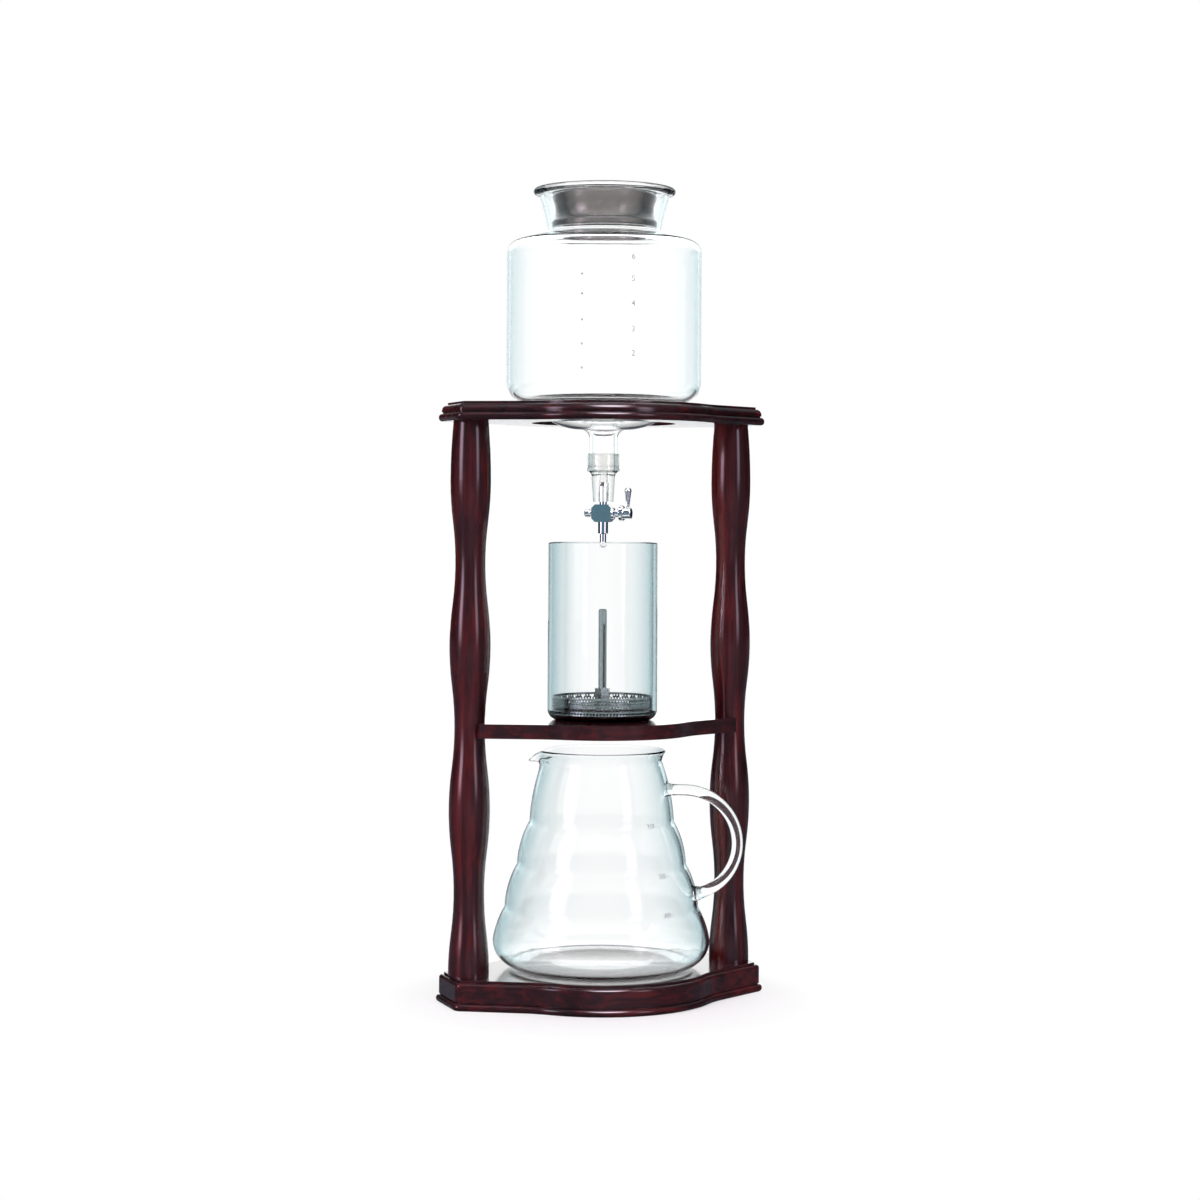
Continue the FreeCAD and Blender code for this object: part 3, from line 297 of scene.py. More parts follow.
def lacquered_wood(name, along, depth=1.0):
    """Stained wood under clear lacquer. The grain runs along the axis named by along, and the
    lower the depth, the darker the whole colour: painted shade, as a darker copy of one lacquer."""
    wood = bpy.context.scene.drip_wood
    made, recipe = material(name)
    fine, drawn = 110.0, 5.0  # how close the pattern lies across and along the grain
    scale = tuple(drawn if axis == along else fine for axis in "XYZ")
    place = recipe.place()
    fibres = recipe.scaled(place, times(scale, MM / wood.grain))
    streak = recipe.noise(fibres, 5.0, 5.0, 0.62, 0.5)
    cloud = recipe.noise(recipe.scaled(place, times(scale, 0.22)), 1.0, 2.0)
    pore = recipe.noise(fibres, 34.0, 2.0, 0.7)
    figure = streak * 0.62 + cloud * 0.5
    colour = recipe.node("ShaderNodeValToRGB", {"stops": [
        (0.40, wood.dark), (0.56, wood.body), (0.74, wood.glow)]}, {0: figure})
    veins = pore.between(0.60, 0.72)
    # painted shade: a depth under one darkens the whole colour of this copy of the lacquer
    colour = recipe.scaled(recipe.blend(veins * 0.55, colour, wood.dark), (depth,) * 3)
    recipe.surface(Base_Color=colour, Roughness=0.40 + veins * 0.15, Specular_IOR_Level=0.06,
                   Coat_Weight=1.0, Coat_Roughness=wood.gloss, Coat_IOR=1.38,
                   Normal=recipe.bump(pore + cloud * 0.6, 0.10, 0.0004))
    return made


def bare_wood():
    """Pale wood of the hidden dowels."""
    made, recipe = material("bare_wood")
    fibres = recipe.scaled(recipe.place(), (900.0, 900.0, 60.0))
    grain = recipe.noise(fibres, 1.0, 4.0, 0.6)
    colour = recipe.blend(grain, (0.36, 0.22, 0.11), (0.62, 0.44, 0.26))
    recipe.surface(Base_Color=colour, Roughness=0.62 - grain * 0.1,
                   Normal=recipe.bump(grain, 0.2, 0.0003))
    return made


def clear_glass(name, falloff, tint=1.0, mirror=0.5):
    """Clear glass, darker and bluish green where the eye runs along its upright walls. The higher
    the falloff, the narrower that edge, and tint is its strength. Floors, shoulders and rims stay
    clear. Mirror is the strength of the reflections."""
    glass = bpy.context.scene.drip_glass
    made, recipe = material(name)
    waves = recipe.noise(recipe.place(), 34.0, 1.0)
    level = recipe.along(recipe.node("ShaderNodeTexCoord", output="Normal"), UP)
    upright = (level * level).between(0.5, 0.15)
    share = recipe.turned_away() ** falloff * upright * tint
    colour = recipe.blend(share, glass.clear, glass.edge)
    recipe.surface(Base_Color=colour, Roughness=0.0, IOR=glass.index, Transmission_Weight=1.0,
                   Specular_Tint=(mirror, mirror, mirror, 1.0),
                   Normal=recipe.bump(waves, 0.05, 0.0008))
    return made


def silicone(name, colour, roughness, clearness=0.0, edge=None, turning=(0.0, 1.0)):
    """Soft moulded rubber with a faint cloudiness and a fine satin skin. Its colour changes to
    that of its edge while the surface turns away from the eye, from a start to an end; on the
    lid's band that dark edge is a painted reflection of dark surroundings. Clearness is the
    share of the light that it lets through."""
    made, recipe = material(name)
    place = recipe.place()
    cloud = recipe.noise(place, 140.0, 3.0)
    skin = recipe.noise(place, 2600.0, 1.0)
    shade = recipe.blend(cloud, times(colour, 0.97 if clearness else 0.82), colour)
    # an edge colour can be painted light: on the lid's band it is a painted reflection of dark
    # surroundings
    if edge:
        shade = recipe.blend(recipe.turned_away().between(*turning), shade, edge)
    recipe.surface(Base_Color=shade, Roughness=roughness + cloud * 0.06, IOR=1.41,
                   Transmission_Weight=clearness,
                   Normal=recipe.bump(skin, 0.02 if clearness else 0.12, 0.0001))
    return made


def chrome():
    """Bright plating with the faintest turning marks and smudges."""
    metal = bpy.context.scene.drip_metal
    made, recipe = material("chrome")
    smudge = recipe.noise(recipe.place(), 380.0, 3.0)
    shade = recipe.blend(smudge, times(metal.chrome, 0.86), metal.chrome)
    recipe.surface(Base_Color=shade, Metallic=1.0, Roughness=0.02 + smudge * 0.05,
                   Normal=recipe.bump(smudge, 0.04, 0.0002))
    return made


def bright_steel(name, bore=0.0):
    """Stainless steel with fine drawn lines, and painted shade, near black, inside a bore's
    radius.
    """
    metal = bpy.context.scene.drip_metal
    made, recipe = material(name)
    lines = recipe.noise(recipe.scaled(recipe.place(), (2200.0, 2200.0, 90.0)), 1.0, 3.0)
    away = recipe.length(recipe.scaled(recipe.place(), (1.0, 1.0, 0.0)))
    sheen = recipe.blend(lines, times(metal.steel, 0.7), metal.steel)
    # painted shade: near black inside the bore's radius, the shaded inside of the tube seen
    # through its slot
    shade = recipe.blend(away > bore, times(metal.steel, 0.05), sheen)
    recipe.surface(Base_Color=shade, Metallic=1.0, Roughness=0.16 + lines * 0.16,
                   Normal=recipe.bump(lines, 0.08, 0.0001))
    return made


def pierced_steel():
    """Steel sheet full of small round holes, in rings over the floor and up the wall, with
    painted shade darkening the sheet round each hole. The cup's rim stays whole."""
    metal = bpy.context.scene.drip_metal
    made, recipe = material("pierced_steel")
    pitch, half_hole = metal.pitch, metal.hole / 2
    outside = reach("filter_cup") * MM
    bend, hem, burr = 1.4 * MM, 1.1 * MM, 0.04 * MM
    axes = recipe.node("ShaderNodeSeparateXYZ", None, {0: recipe.place()}).socket.node.outputs
    across, deep, up = (Wire(recipe, axes[axis]) for axis in "XYZ")
    radius = (across * across + deep * deep).root()
    turns = recipe.maths("ARCTAN2", deep, across) / TURN

    ring = recipe.maths("ROUND", radius / pitch)
    count = recipe.maths("ROUND", ring * TURN)
    along_floor = (recipe.maths("FRACT", turns * count + 0.5) - 0.5) * TURN * radius / count
    out_floor = radius - ring * pitch
    floor_gap = (along_floor * along_floor + out_floor * out_floor).root()

    level = (up - low("filter_cup").z) / pitch + 0.35
    row = recipe.maths("FLOOR", level)
    count = round(TURN * outside / pitch)
    along_wall = (recipe.maths("FRACT", turns * count + row * 0.5) - 0.5) * pitch
    up_wall = (level - row - 0.5) * pitch
    wall_gap = (along_wall * along_wall + up_wall * up_wall).root()

    on_wall = radius > outside - bend
    rim = up > high("filter_cup").z - hem
    edge = floor_gap * (1 - on_wall) + wall_gap * on_wall - half_hole
    whole = (edge.between(-burr, burr) + rim).between(0.0, 1.0)
    grain = recipe.noise(recipe.place(), 900.0, 2.0)
    sheet = recipe.blend(grain, times(metal.steel, 0.6), metal.steel)
    # painted shade: the sheet turns dark towards each hole's edge
    painted_hole_shade = recipe.blend(edge.between(0.0, pitch * 0.22), times(metal.steel, 0.12), sheet)
    recipe.surface(Base_Color=recipe.blend(rim, painted_hole_shade, sheet), Metallic=1.0,
                   Roughness=0.2 + grain * 0.12, Alpha=whole)
    return made


def ink():
    """Fired-on grey ink, a little worn."""
    mark = bpy.context.scene.drip_marks
    made, recipe = material("fired_ink")
    wear = recipe.noise(recipe.place(), 900.0, 2.0)
    pale = tuple(min(channel * 1.5, 1.0) for channel in mark.ink)
    recipe.surface(Base_Color=recipe.blend(wear, mark.ink, pale), Roughness=0.5 + wear * 0.2)
    return made


# ---------------------------------------------------------------- mesh tools

def arc(start, end, bend, span=math.radians(7)):
    """Points on the shorter arc between two corners, without its ends."""
    radius = abs(bend)
    chord = end - start
    half = chord.length / 2
    side = 1 if bend > 0 else -1
    across = Vector((-chord.y, chord.x)).normalized() * side
    centre = start + chord / 2 + across * math.sqrt(max(radius ** 2 - half ** 2, 0.0))
    sweep = 2 * math.asin(min(half / radius, 1.0))
    longest = 2.5  # mm
    count = max(2, math.ceil(sweep / span), math.ceil(sweep * radius / longest))
    first = start - centre
    turns = (side * sweep * step / count for step in range(1, count))
    return [centre + Matrix.Rotation(turn, 2) @ first for turn in turns]


def steps_of(corners):
    """Every point of a closed profile, with its round stretches as short steps."""
    points = []
    for index, corner in enumerate(corners):
        start = Vector(corner[:2])
        points.append(start)
        if len(corner) == 3:
            end = Vector(corners[(index + 1) % len(corners)][:2])
            points += arc(start, end, corner[2])
    return points


def turned(corners, steps, level):
    """A bmesh turned right round the Z axis from a closed profile that stands on a level."""
    shape = bmesh.new()
    verts = [shape.verts.new((point.x * MM, 0.0, point.y * MM + level))
             for point in steps_of(corners)]
    for first, second in zip(verts, verts[1:] + verts[:1]):
        if first.co.x > WELD or second.co.x > WELD:
            shape.edges.new((first, second))
    bmesh.ops.spin(shape, geom=shape.verts[:] + shape.edges[:], cent=(0, 0, 0), axis=(0, 0, 1),
                   angle=TURN, steps=steps, use_merge=True)
    bmesh.ops.remove_doubles(shape, verts=shape.verts, dist=WELD)
    bmesh.ops.recalc_face_normals(shape, faces=shape.faces)
    return shape


def rod(stations, steps=32):
    """A round rod through stations, each the matrix of a circle and its radius."""
    shape = bmesh.new()
    loops = []
    for place, radius in stations:
        ring = bmesh.ops.create_circle(shape, segments=steps, radius=radius * MM, matrix=place)
        loops.append(list({edge for vert in ring["verts"] for edge in vert.link_edges}))
    for first, second in zip(loops, loops[1:]):
        bmesh.ops.bridge_loops(shape, edges=first + second)
    for loop in (loops[0], loops[-1]):
        bmesh.ops.contextual_create(shape, geom=loop)
    bmesh.ops.recalc_face_normals(shape, faces=shape.faces)
    return shape


def pull_lip(shape, angle):
    """Draws a rim out and down into a small pouring lip that points at an angle."""
    out, drop, spread, depth = 6.6, 6.7, 9.5, 16.0  # mm
    rim = max(vert.co.z for vert in shape.verts)
    for vert in shape.verts:
        rise = 1 - (rim - vert.co.z) / MM / depth
        if rise > 0:
            rise = rise * rise * (3 - 2 * rise)
            radius = vert.co.xy.length
            off = math.remainder(math.atan2(vert.co.y, vert.co.x) - angle, TURN)
            near = math.exp(-(off * radius / MM / spread) ** 2)
            vert.co.xy = vert.co.xy * (1 + out * MM * near * rise ** 2 / radius)
            vert.co.z -= drop * MM * near * rise ** 3


def radius_at(line, height):
    """The outer radius, in mm, of a profile's points at a height."""
    radii = [0.0]
    for first, second in zip(line, line[1:]):
        if min(first.y, second.y) <= height < max(first.y, second.y):
            share = (height - first.y) / (second.y - first.y)
            radii.append(first.x + share * (second.x - first.x))
    return max(radii)


def print_marks(profile, level, marks):
    """Figures printed round a turned glass piece: each is its text, its size as a share of the
    usual one, its angle in degrees and its height over the level, in mm."""
    look = bpy.context.scene.drip_marks
    line = steps_of(profile)
    shape = bmesh.new()
    for words, size, angle, height in marks:
        curve = bpy.data.curves.new("mark", "FONT")
        curve.body = words
        letter = look.height * size
        curve.size = letter
        curve.align_x = curve.align_y = "CENTER"
        curve.extrude = look.lift / 3
        curve.offset = letter * 0.004
        holder = bpy.data.objects.new("mark", curve)
        mesh = bpy.data.meshes.new_from_object(holder)
        old = len(shape.verts)
        shape.from_mesh(mesh)
        shape.verts.ensure_lookup_table()
        for vert in shape.verts[old:]:
            across, up, out = vert.co
            rise = height + up / MM
            radius = radius_at(line, rise) * MM
            turn = math.radians(angle) + across / radius
            away = radius + look.lift + out
            vert.co = (away * math.cos(turn), away * math.sin(turn), level + rise * MM)
        bpy.data.objects.remove(holder)
        bpy.data.curves.remove(curve)
        bpy.data.meshes.remove(mesh)
    bmesh.ops.remove_doubles(shape, verts=shape.verts, dist=WELD)
    return shape


def add_piece(shape, name, finish, body, slot, *replaced, crease=32):
    """Makes a piece of a bmesh: it rides on a body and stands for the CAD nodes it replaces."""
    mesh = bpy.data.meshes.new(name)
    shape.to_mesh(mesh)
    shape.free()
    mesh.shade_smooth()
    mesh.set_sharp_from_angle(angle=math.radians(crease))
    mesh.materials.append(finish)
    piece = bpy.data.objects.new(name, mesh)
    bpy.context.scene.collection.objects.link(piece)
    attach(piece, body)
    if replaced:
        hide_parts(*replaced)
    return piece


def finish_nodes(finish, *nodes):
    """Gives CAD nodes that stay a better material."""
    for node in nodes:
        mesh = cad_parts[node].data
        mesh.materials.clear()
        mesh.materials.append(finish)


# ---------------------------------------------------------------- profiles

def chamber_seat():
    """Height of the chamber's seat on the top plate over the end of its outlet, in mm."""
    return (high("top_plate").z - low("water_chamber").z) / MM


def chamber_profile():
    """The jar: outlet tube, dished bottom, seat, straight side, sloping shoulder, flared neck."""
    wall = 2.2
    pipe, bore, tip = 8.5, 6.6, 0.5
    flare_drop, flare_bend, flare_inside = 19.7, 5.0, 7.05
    bowl, bowl_drop, bowl_bend = 13.5, 14.7, 35.9
    dish, foot, heel = 42.5, 44.5, 14.0
    neck, mouth, rim = 34.0, 39.0, 1.1
    turn, fillet, bow = 8.0, 3.0, 150.0
    seat = chamber_seat()
    top = tall("water_chamber")
    side = reach("water_chamber")
    shoulder, throat = seat + 90.6, seat + 105.2
    slope = math.radians(13)
    lean, rise = math.sin(slope), math.cos(slope)
    hub = side - turn
    return [
        (pipe - tip, 0.0, tip), (pipe, tip),
        (pipe, seat - flare_drop, -flare_bend), (bowl, seat - bowl_drop, bowl_bend),
        (dish, seat), (foot, seat, heel),
        (side, seat + heel), (side, shoulder, turn),
        (hub + turn * lean, shoulder + turn * rise),
        (neck + fillet * (1 - lean), throat - fillet * rise, -fillet),
        (neck, throat, -bow),
        (mouth, top - rim, rim), (mouth - rim, top, rim), (mouth - wall, top - rim, bow + wall),
        (neck - wall, throat, fillet + wall),
        (neck - wall + (fillet + wall) * (1 - lean), throat - (fillet + wall) * rise),
        (hub + (turn - wall) * lean, shoulder + (turn - wall) * rise, wall - turn),
        (side - wall, shoulder), (side - wall, seat + heel, wall - heel),
        (foot, seat + wall), (dish, seat + wall, -bowl_bend),
        (bowl, seat - bowl_drop + wall, flare_inside),
        (bore, seat - flare_drop), (bore, tip, tip), (bore + tip, 0.0),
    ]


def lid_profile():
    """The lid: a round-edged disc with a hollow plug under it, from the disc's top inwards."""
    disc = reach("lid_glass")
    top = tall("lid_glass")
    under = (high("water_chamber").z - low("lid_glass").z) / MM
    half = (top - under) / 2
    inner, tip, root, bend = PLUG_RADIUS - 2.1, 0.8, 1.0, 1.5
    ceiling = under + 0.2
    return [
        (0.0, top), (0.0, ceiling), (inner - bend, ceiling, -bend), (inner, ceiling - bend),
        (inner, tip, tip), (inner + tip, 0.0), (PLUG_RADIUS - tip, 0.0, tip), (PLUG_RADIUS, tip),
        (PLUG_RADIUS, under - root, -root), (PLUG_RADIUS + root, under),
        (disc - half, under, half), (disc, under + half, half), (disc - half, top),
    ]


def seal_profile():
    """The soft band round the plug: a rounded lip at the bottom, a waist and a rib at the top."""
    inner = PLUG_RADIUS + 0.18
    outer = reach("lid_seal")
    top = tall("lid_seal")
    lip, waist = 1.2, outer - 0.9
    return [
        (inner, top), (inner, 0.0), (outer - lip, 0.0, lip), (outer, lip),
        (outer, 2.0, 2.4), (waist, 4.6, -14.0), (waist + 0.2, top - 4.2, 16.0),
        (outer - 0.2, top - 1.0, 0.9), (outer - 1.1, top),
    ]


def sleeve_profile():
    """The silicone sleeve, from its cup's rim down the inside and up round the outside."""
    cup = reach("tap_sleeve")
    length = tall("tap_sleeve")
    grip, throat, socket, socket_depth = 8.53, 2.2, 2.78, 11.6
    floor = length - 10.3
    tail, tip, brim = 6.2, 0.5, 1.0
    return [
        (grip, length), (grip, floor), (throat, floor), (throat, socket_depth),
        (socket, socket_depth), (socket, 0.0), (tail - tip, 0.0, tip), (tail, tip),
        (7.1, floor - 4.2, -3.6), (cup - 0.5, floor - 0.2, 0.6), (cup, floor + 0.6),
        (cup - 0.1, floor + 2.2, -0.8), (cup - 0.15, floor + 3.4),
        (cup - 0.2, length - brim, brim), (cup - 0.2 - brim, length),
    ]


def brewer_profile():
    """The brewer: outlet, rounded foot, straight side, fire-polished rim."""
    side = reach("brewer_glass")
    top = tall("brewer_glass")
    wall, floor, foot = 2.0, 2.4, 5.5
    outlet, smooth, rim = 8.0, 0.6, wall / 2
    return [
        (outlet + smooth, 0.0), (side - foot, 0.0, foot), (side, foot),
        (side, top - rim, rim), (side - rim, top, rim), (side - wall, top - rim),
        (side - wall, floor + foot - wall, wall - foot), (side - foot, floor),
        (outlet + smooth, floor, smooth), (outlet, floor - smooth), (outlet, smooth, smooth),
    ]


def skirt_profile():
    """The cup's thin skirt, which hides the gasket but for its lip."""
    air, sheet, lip = 0.04, 0.2, 1.7
    inner = reach("filter_gasket") + air
    outer = inner + sheet
    top = tall("filter_gasket")
    return [(inner, lip), (outer, lip), (outer, top), (inner, top)]


def jug_line():
    """The jug's outer line above its belly, as corners that the wall's two faces share."""
    top = tall("jug_body")
    rib = 55.0
    return [
        (65.0, 16.8, rib), (58.0, 36.3, rib), (50.65, 61.9, rib), (43.3, 87.5, 120.0),
        (35.8, top - 6.7, -14.0), (38.1, top),
    ]


def jug_profile():
    """The jug: pushed-up foot, wide belly, three ribs, waist and flared rim, and the inside."""
    wall, floor, heel = 2.0, 3.5, 14.0
    outer = jug_line()
    mouth, top = outer[-1]
    edge = top - 0.9
    inner = [(corner[0] - wall, corner[1], -before[2])
             for before, corner in zip(outer, outer[1:-1])][::-1]
    belly, low_rib = outer[0][:2]
    return [
        (0.0, 1.4), (30.0, 1.4, -1.6), (31.5, 0.9), (33.2, 0.2, 1.2), (34.4, 0.0),
        (43.0, 0.0, 3.0), (45.0, 0.25), (53.1, 1.35, 16.0),
    ] + outer[:-1] + [
        (mouth, edge, 1.0), (mouth - 1.0, top, 1.0), (mouth - wall, edge, heel),
    ] + inner + [(belly - wall, low_rib, -heel), (54.3, floor), (0.0, floor)]


def handle_stations():
    """The handle: a rod from the jug's neck out, round and back into its belly, a little thicker
    where it is fused on at both ends."""
    turn = Matrix.Rotation(math.radians(JUG_TURN), 4, "Z")
    level = Matrix.Translation((0.0, 0.0, low("jug_body").z))
    loop, centre, neck = 31.2, Vector((50.6, 76.0)), 37.4
    thick, swell, fade = 3.3, 1.5, 3.6
    sweep, steps = 170, 42
    line = [(neck + step * 1.2, centre.y + loop, 90.0) for step in range(11)]
    for step in range(steps + 1):
        angle = step * sweep / steps
        line.append((centre.x + loop * math.sin(math.radians(angle)),
                     centre.y + loop * math.cos(math.radians(angle)), 90.0 + angle))
    ends = [Vector(line[0][:2]), Vector(line[-1][:2])]
    stations = []
    for across, height, lean in line:
        near = min((Vector((across, height)) - end).length for end in ends)
        place = Matrix.Translation((across * MM, 0.0, height * MM))
        lean = Matrix.Rotation(math.radians(lean), 4, "Y")
        radius = thick + swell * math.exp(-(near / fade) ** 2)
        stations.append((turn @ level @ place @ lean, radius))
    return stations


# ---------------------------------------------------------------- stage

def add_camera(scene):
    stage = scene.drip_stage
    lens = bpy.data.cameras.new("camera")
    lens.lens = stage.lens
    lens.shift_x = -0.0026
    lens.shift_y = -0.0645
    roll = math.radians(-0.275)
    camera = bpy.data.objects.new("camera", lens)
    camera.location = (stage.distance * math.sin(stage.azimuth),
                       -stage.distance * math.cos(stage.azimuth), stage.height)
    camera.rotation_euler = (math.radians(90), roll, stage.azimuth)
    scene.collection.objects.link(camera)
    scene.camera = camera


def add_floor(scene):
    """A pale floor that keeps the tower's soft shadow and turns white away from it."""
    shape = bmesh.new()
    bmesh.ops.create_grid(shape, x_segments=1, y_segments=1, size=6.0)
    mesh = bpy.data.meshes.new("floor")
    shape.to_mesh(mesh)
    shape.free()
    made, recipe = material("floor")
    place = recipe.place()
    speckle = recipe.noise(place, 60.0, 2.0)
    camera, glossy, bent = recipe.rays("Is Camera Ray", "Is Glossy Ray", "Is Transmission Ray")
    paper = recipe.blend(speckle * 0.02, scene.drip_stage.floor, (1.0, 1.0, 1.0))
    paper = recipe.node("ShaderNodeBsdfPrincipled", None, {
        "Base Color": recipe.blend(glossy, paper, (0.10, 0.13, 0.15)), "Roughness": 0.7})
    white = recipe.node("ShaderNodeEmission", None, {"Color": (1.0, 1.0, 1.0)})
    share = (camera + bent) * recipe.length(place).between(0.0, 0.13)
    both = recipe.node("ShaderNodeMixShader", None, {0: share, 1: paper, 2: white})
    recipe.node("ShaderNodeOutputMaterial", None, {"Surface": both})
    mesh.materials.append(made)
    piece = bpy.data.objects.new("floor", mesh)
    scene.collection.objects.link(piece)


def add_lights(scene):
    """Three wide lamps that no polish mirrors, since the world holds their softboxes."""
    aim = Vector((0.0, 0.0, 0.26))
    for name, angle, distance, height, width, length, power in (
            ("key_light", -76.0, 1.5, 0.75, 0.55, 1.2, 8.0),
            ("fill_light", 22.0, 1.6, 0.75, 0.40, 1.2, 4.0),
            ("top_light", -20.0, 0.6, 1.7, 1.2, 0.8, 12.0)):
        light = bpy.data.lights.new(name, "AREA")
        light.shape = "RECTANGLE"
        light.size = width
        light.size_y = length
        light.energy = power
        light.color = (1.0, 0.80, 0.94)
        lamp = bpy.data.objects.new(name, light)
        lamp.visible_glossy = False
        turn = math.radians(angle)
        lamp.location = (distance * math.sin(turn), -distance * math.cos(turn), height)
        lamp.rotation_euler = (aim - lamp.location).to_track_quat("-Z", "Y").to_euler()
        scene.collection.objects.link(lamp)


def softbox(recipe, way, rising, angle, width, levels):
    """How far a direction lies in a softbox: at an angle from the front, so wide to each side,
    and growing and fading over four levels."""
    turn = math.radians(angle)
    across = recipe.along(way, (math.cos(turn), math.sin(turn), 0.0))
    ahead = recipe.along(way, (math.sin(turn), -math.cos(turn), 0.0))
    share = (across * across).between(width ** 2, 0.0) * ahead.between(0.0, 0.1)
    grow, whole, fade, end = levels
    return share * rising.between(grow, whole) * rising.between(end, fade)


def lit(recipe, room, boxes, strength):
    """A room with its softboxes, each channel as strong as given."""
    return recipe.blend(1.0, room, recipe.scaled(boxes, strength), "ADD")


def add_world(scene):
    """White to the eye, and to each other kind of ray a room of its own. Through glass there is
    a broad white backdrop with pale sides, and in a reflection the softboxes too. Lacquer and
    metal mirror a dim bluish room with bright softboxes and a narrow backdrop, and the sharp
    reflections of glass show a paler room. Soft light comes from all round."""
    ahead = (-math.sin(scene.drip_stage.azimuth), math.cos(scene.drip_stage.azimuth), 0.0)
    world = bpy.data.worlds.new("studio")
    scene.world = world
    recipe = Recipe(world)
    way = recipe.node("ShaderNodeTexCoord", output="Generated")
    facing = recipe.along(way, ahead)
    rising = recipe.along(way, UP)
    camera, glossy, through, singular, depth = recipe.rays(
        "Is Camera Ray", "Is Glossy Ray", "Is Transmission Ray", "Is Singular Ray",
        "Glossy Depth")
    bounced = depth.between(0.0, 1.0)
    beyond = facing.between(-0.25, 0.05)

    upright = (-0.10, 0.10, 0.36, 0.62)
    key = softbox(recipe, way, rising, -76.0, 0.22, upright)
    fill = softbox(recipe, way, rising, 22.0, 0.17, upright)
    above = softbox(recipe, way, rising, -12.0, 0.30, (0.40, 0.50, 0.85, 0.95))
    boxes = recipe.blend(fill, (0.0, 0.0, 0.0), (0.55, 0.44, 0.53))
    boxes = recipe.blend(key, boxes, (1.0, 0.76, 0.96))

    backdrop = (facing.between(0.60, 0.90) + rising.between(0.15, 0.5)).between(0.0, 1.0)
    glow = recipe.blend(bounced, (1.1, 1.1, 1.1), (1.5, 1.5, 1.5))
    glow = recipe.blend(bounced * rising.between(0.11, 0.16), glow, (2.4, 2.4, 2.4))
    sides = recipe.blend(rising.between(-0.02, 0.12), (1.0, 1.0, 1.0), (0.72, 0.83, 0.86))
    glass = recipe.blend(backdrop, sides, glow)
    glass = recipe.blend(bounced, glass, lit(recipe, glass, boxes, (5.0, 5.0, 5.0)))

    polish = recipe.blend(beyond, (0.10, 0.19, 0.24), (0.012, 0.02, 0.025))
    polish = recipe.blend(rising.between(0.3, 0.8), polish, (0.38, 0.46, 0.50))
    polish = lit(recipe, polish, boxes, (11.0, 11.0, 11.0))
    polish = recipe.blend(above, polish, (30.0, 26.0, 30.0))
    polish = recipe.blend(facing.between(0.90, 0.97), polish, (2.0, 2.0, 2.0))

    sharp = recipe.blend(beyond, (0.22, 0.33, 0.37), (0.10, 0.17, 0.19))
    sharp = lit(recipe, sharp, boxes, (5.0, 6.0, 5.0))
    sharp = recipe.blend(facing.between(0.90, 0.98), sharp, (1.0, 1.0, 1.0))

    mirrored = recipe.blend(singular, polish, sharp)
    colour = recipe.blend(glossy, (0.45, 0.46, 0.47), mirrored)
    colour = recipe.blend(through, colour, glass)
    colour = recipe.blend(camera, colour, (1.0, 1.0, 1.0))
    sky = recipe.node("ShaderNodeBackground", None, {"Color": colour})
    recipe.node("ShaderNodeOutputWorld", None, {"Surface": sky})


# ---------------------------------------------------------------- operators

class DRIP_OT_stand(bpy.types.Operator):
    """Finish the plates, posts and shelf in lacquered wood, and what joins them"""
    bl_idname = "drip.stand"
    bl_label = "Wooden stand"
    bl_options = {"REGISTER", "UNDO"}

    def execute(self, context):
        # the plates and shelf take a darker copy of the lacquer (depth 0.72): painted shade
        level = lacquered_wood("lacquer_level", "X", 0.72)
        upright = lacquered_wood("lacquer_upright", "Z")
        finish_nodes(level, "base_plate", "top_plate", "brewer_shelf")
        finish_nodes(upright, "left_post", "right_post")
        finish_nodes(bare_wood(), "top_dowels", "shelf_pegs")
        finish_nodes(bright_steel("screw_steel"), "base_screws")
        return {"FINISHED"}


class DRIP_OT_chamber(bpy.types.Operator):
    """Blow the water chamber and press its lid, with the lid's soft band"""
    bl_idname = "drip.chamber"
    bl_label = "Water chamber and lid"
    bl_options = {"REGISTER", "UNDO"}

    def execute(self, context):
        steps = context.scene.drip_glass.steps
        soft = context.scene.drip_soft
        level = low("water_chamber").z
        profile = chamber_profile()
        add_piece(turned(profile, steps, level), "chamber_glass",
                  clear_glass("chamber_clear", 3.0), "chamber", "glass", "water_chamber")
        seat = chamber_seat()
        figures = [(figure, 1.0, -94.1, seat + height)
                   for figure, height in zip("65432", (83.7, 70.8, 56.5, 41.7, 27.6))]
        dots = [(".", 2.2, -123.6, seat + height) for height in (76.1, 64.7, 49.6, 35.7, 21.8)]
        add_piece(print_marks(profile, level, figures + dots), "chamber_figures", ink(),
                  "chamber", "glass")
        lid = clear_glass("lid_clear", falloff=6.0, tint=0.15, mirror=1.0)
        add_piece(turned(lid_profile(), steps, low("lid_glass").z), "lid_disc", lid,
                  "lid", "glass", "lid_glass")
        # the band's near-black edge colour is a painted reflection of dark surroundings at its
        # sides
        band = silicone("taupe_silicone", soft.seal, 0.12, edge=(0.004, 0.008, 0.011),
                        turning=(0.14, 0.38))
        add_piece(turned(seal_profile(), steps, low("lid_seal").z), "lid_band", band,
                  "lid", "taupe_silicone", "lid_seal")
        return {"FINISHED"}


class DRIP_OT_tap(bpy.types.Operator):
    """Mould the sleeve and plate the tap"""
    bl_idname = "drip.tap"
    bl_label = "Tap and sleeve"
    bl_options = {"REGISTER", "UNDO"}

    def execute(self, context):
        soft = context.scene.drip_soft
        milky = silicone("milky_silicone", soft.sleeve, 0.05, clearness=0.93,
                         edge=(0.22, 0.42, 0.42), turning=(0.1, 1.0))
        add_piece(turned(sleeve_profile(), 96, low("tap_sleeve").z), "sleeve", milky,
                  "chamber", "clear_silicone", "tap_sleeve")
        finish_nodes(chrome(), "tap_stem", "tap_block", "tap_collar", "drip_spout", "tap_plug",
                     "plug_washer", "plug_nut", "tap_knob", "tap_lever")
        finish_nodes(silicone("ring_silicone", soft.black, 0.4), "plug_rings")
        return {"FINISHED"}


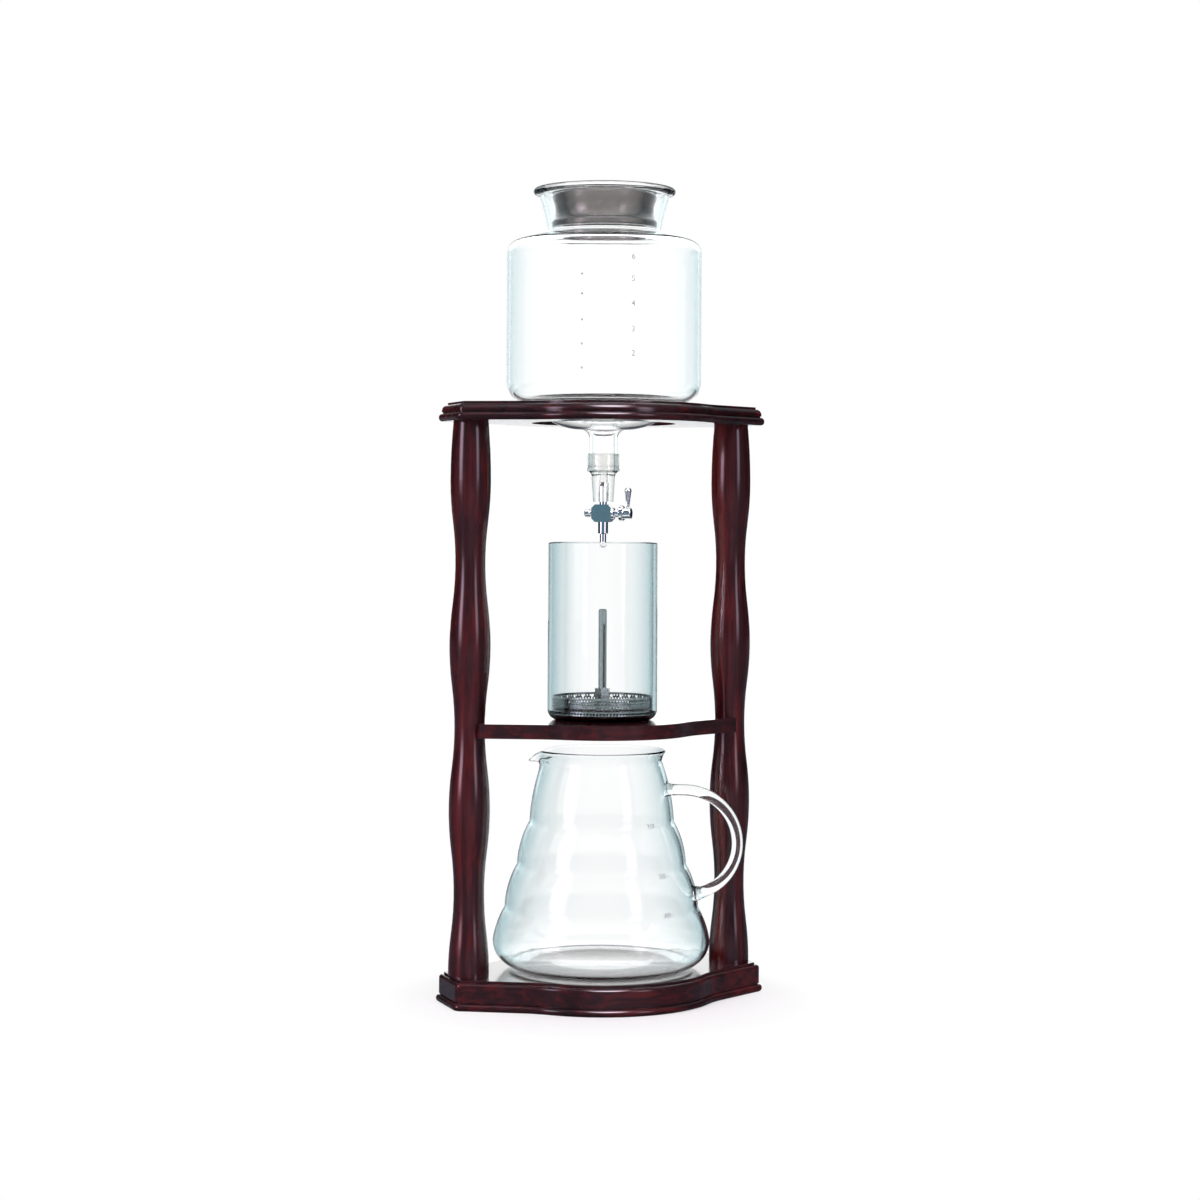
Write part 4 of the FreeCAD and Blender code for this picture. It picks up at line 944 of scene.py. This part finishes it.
class DRIP_OT_brewer(bpy.types.Operator):
    """Blow the brewer and fit its filter: gasket, pierced cup, nut and slotted tube"""
    bl_idname = "drip.brewer"
    bl_label = "Brewer and filter"
    bl_options = {"REGISTER", "UNDO"}

    def execute(self, context):
        steps = context.scene.drip_glass.steps
        soft = context.scene.drip_soft
        add_piece(turned(brewer_profile(), steps, low("brewer_glass").z), "brewer_vessel",
                  clear_glass("brewer_clear", 1.25), "brewer", "glass", "brewer_glass")
        finish_nodes(silicone("gasket_silicone", soft.black, 0.12), "filter_gasket")
        # the tube's bore is painted near black: painted shade inside its slot
        finish_nodes(bright_steel("tube_steel", bore=2.2 * MM), "filter_tube")
        finish_nodes(bright_steel("nut_steel"), "filter_nut")
        pierced = pierced_steel()
        finish_nodes(pierced, "filter_cup")
        add_piece(turned(skirt_profile(), steps, low("filter_gasket").z), "cup_skirt", pierced,
                  "filter", "steel")
        return {"FINISHED"}


class DRIP_OT_jug(bpy.types.Operator):
    """Blow the ribbed jug with its pouring lip and add its handle"""
    bl_idname = "drip.jug"
    bl_label = "Ribbed jug"
    bl_options = {"REGISTER", "UNDO"}

    def execute(self, context):
        level = low("jug_body").z
        profile = jug_profile()
        vessel = turned(profile, context.scene.drip_glass.steps, level)
        pull_lip(vessel, math.radians(JUG_TURN + 180))
        add_piece(vessel, "jug_vessel", clear_glass("jug_clear", 1.7), "jug", "glass", "jug_body")
        add_piece(rod(handle_stations()), "jug_loop", clear_glass("handle_clear", 4.5, mirror=1.0),
                  "jug", "glass", "jug_handle")
        figures = [("750 -", 0.8, -68.0, 88.0), ("500 -", 0.8, -66.0, 59.5),
                   ("300 -", 0.8, -68.0, 37.4)]
        add_piece(print_marks(profile, level, figures), "jug_figures", ink(), "jug", "glass")
        return {"FINISHED"}


class DRIP_OT_stage(bpy.types.Operator):
    """Set the camera, the lights, the floor and the white surroundings"""
    bl_idname = "drip.stage"
    bl_label = "Stage"
    bl_options = {"REGISTER", "UNDO"}

    def execute(self, context):
        scene = context.scene
        add_camera(scene)
        add_floor(scene)
        add_lights(scene)
        add_world(scene)
        scene.view_settings.view_transform = "Standard"
        return {"FINISHED"}


class DRIP_PT_panel(bpy.types.Panel):
    """Lists the tower's pieces and settings"""
    bl_idname = "DRIP_PT_panel"
    bl_label = "Drip Tower"
    bl_space_type = "VIEW_3D"
    bl_region_type = "UI"
    bl_category = "Drip Tower"

    def draw(self, context):
        for operator in OPERATORS:
            self.layout.operator(operator.bl_idname)
        for name, group in SETTINGS.items():
            box = self.layout.box()
            for setting in group.__annotations__:
                box.prop(getattr(context.scene, name), setting)


SETTINGS = {
    "drip_wood": WoodSettings,
    "drip_glass": GlassSettings,
    "drip_soft": SoftSettings,
    "drip_metal": MetalSettings,
    "drip_marks": MarkSettings,
    "drip_stage": StageSettings,
}
OPERATORS = (DRIP_OT_stand, DRIP_OT_chamber, DRIP_OT_tap, DRIP_OT_brewer, DRIP_OT_jug,
             DRIP_OT_stage)


def register():
    for group in SETTINGS.values():
        bpy.utils.register_class(group)
    for name, group in SETTINGS.items():
        setattr(bpy.types.Scene, name, PointerProperty(type=group))
    for operator in OPERATORS:
        bpy.utils.register_class(operator)
    bpy.utils.register_class(DRIP_PT_panel)


def unregister():
    bpy.utils.unregister_class(DRIP_PT_panel)
    for operator in reversed(OPERATORS):
        bpy.utils.unregister_class(operator)
    for name, group in SETTINGS.items():
        delattr(bpy.types.Scene, name)
        bpy.utils.unregister_class(group)


def main():
    register()
    for operator in OPERATORS:
        group, action = operator.bl_idname.split(".")
        getattr(getattr(bpy.ops, group), action)()


if __name__ == "__main__":
    main()
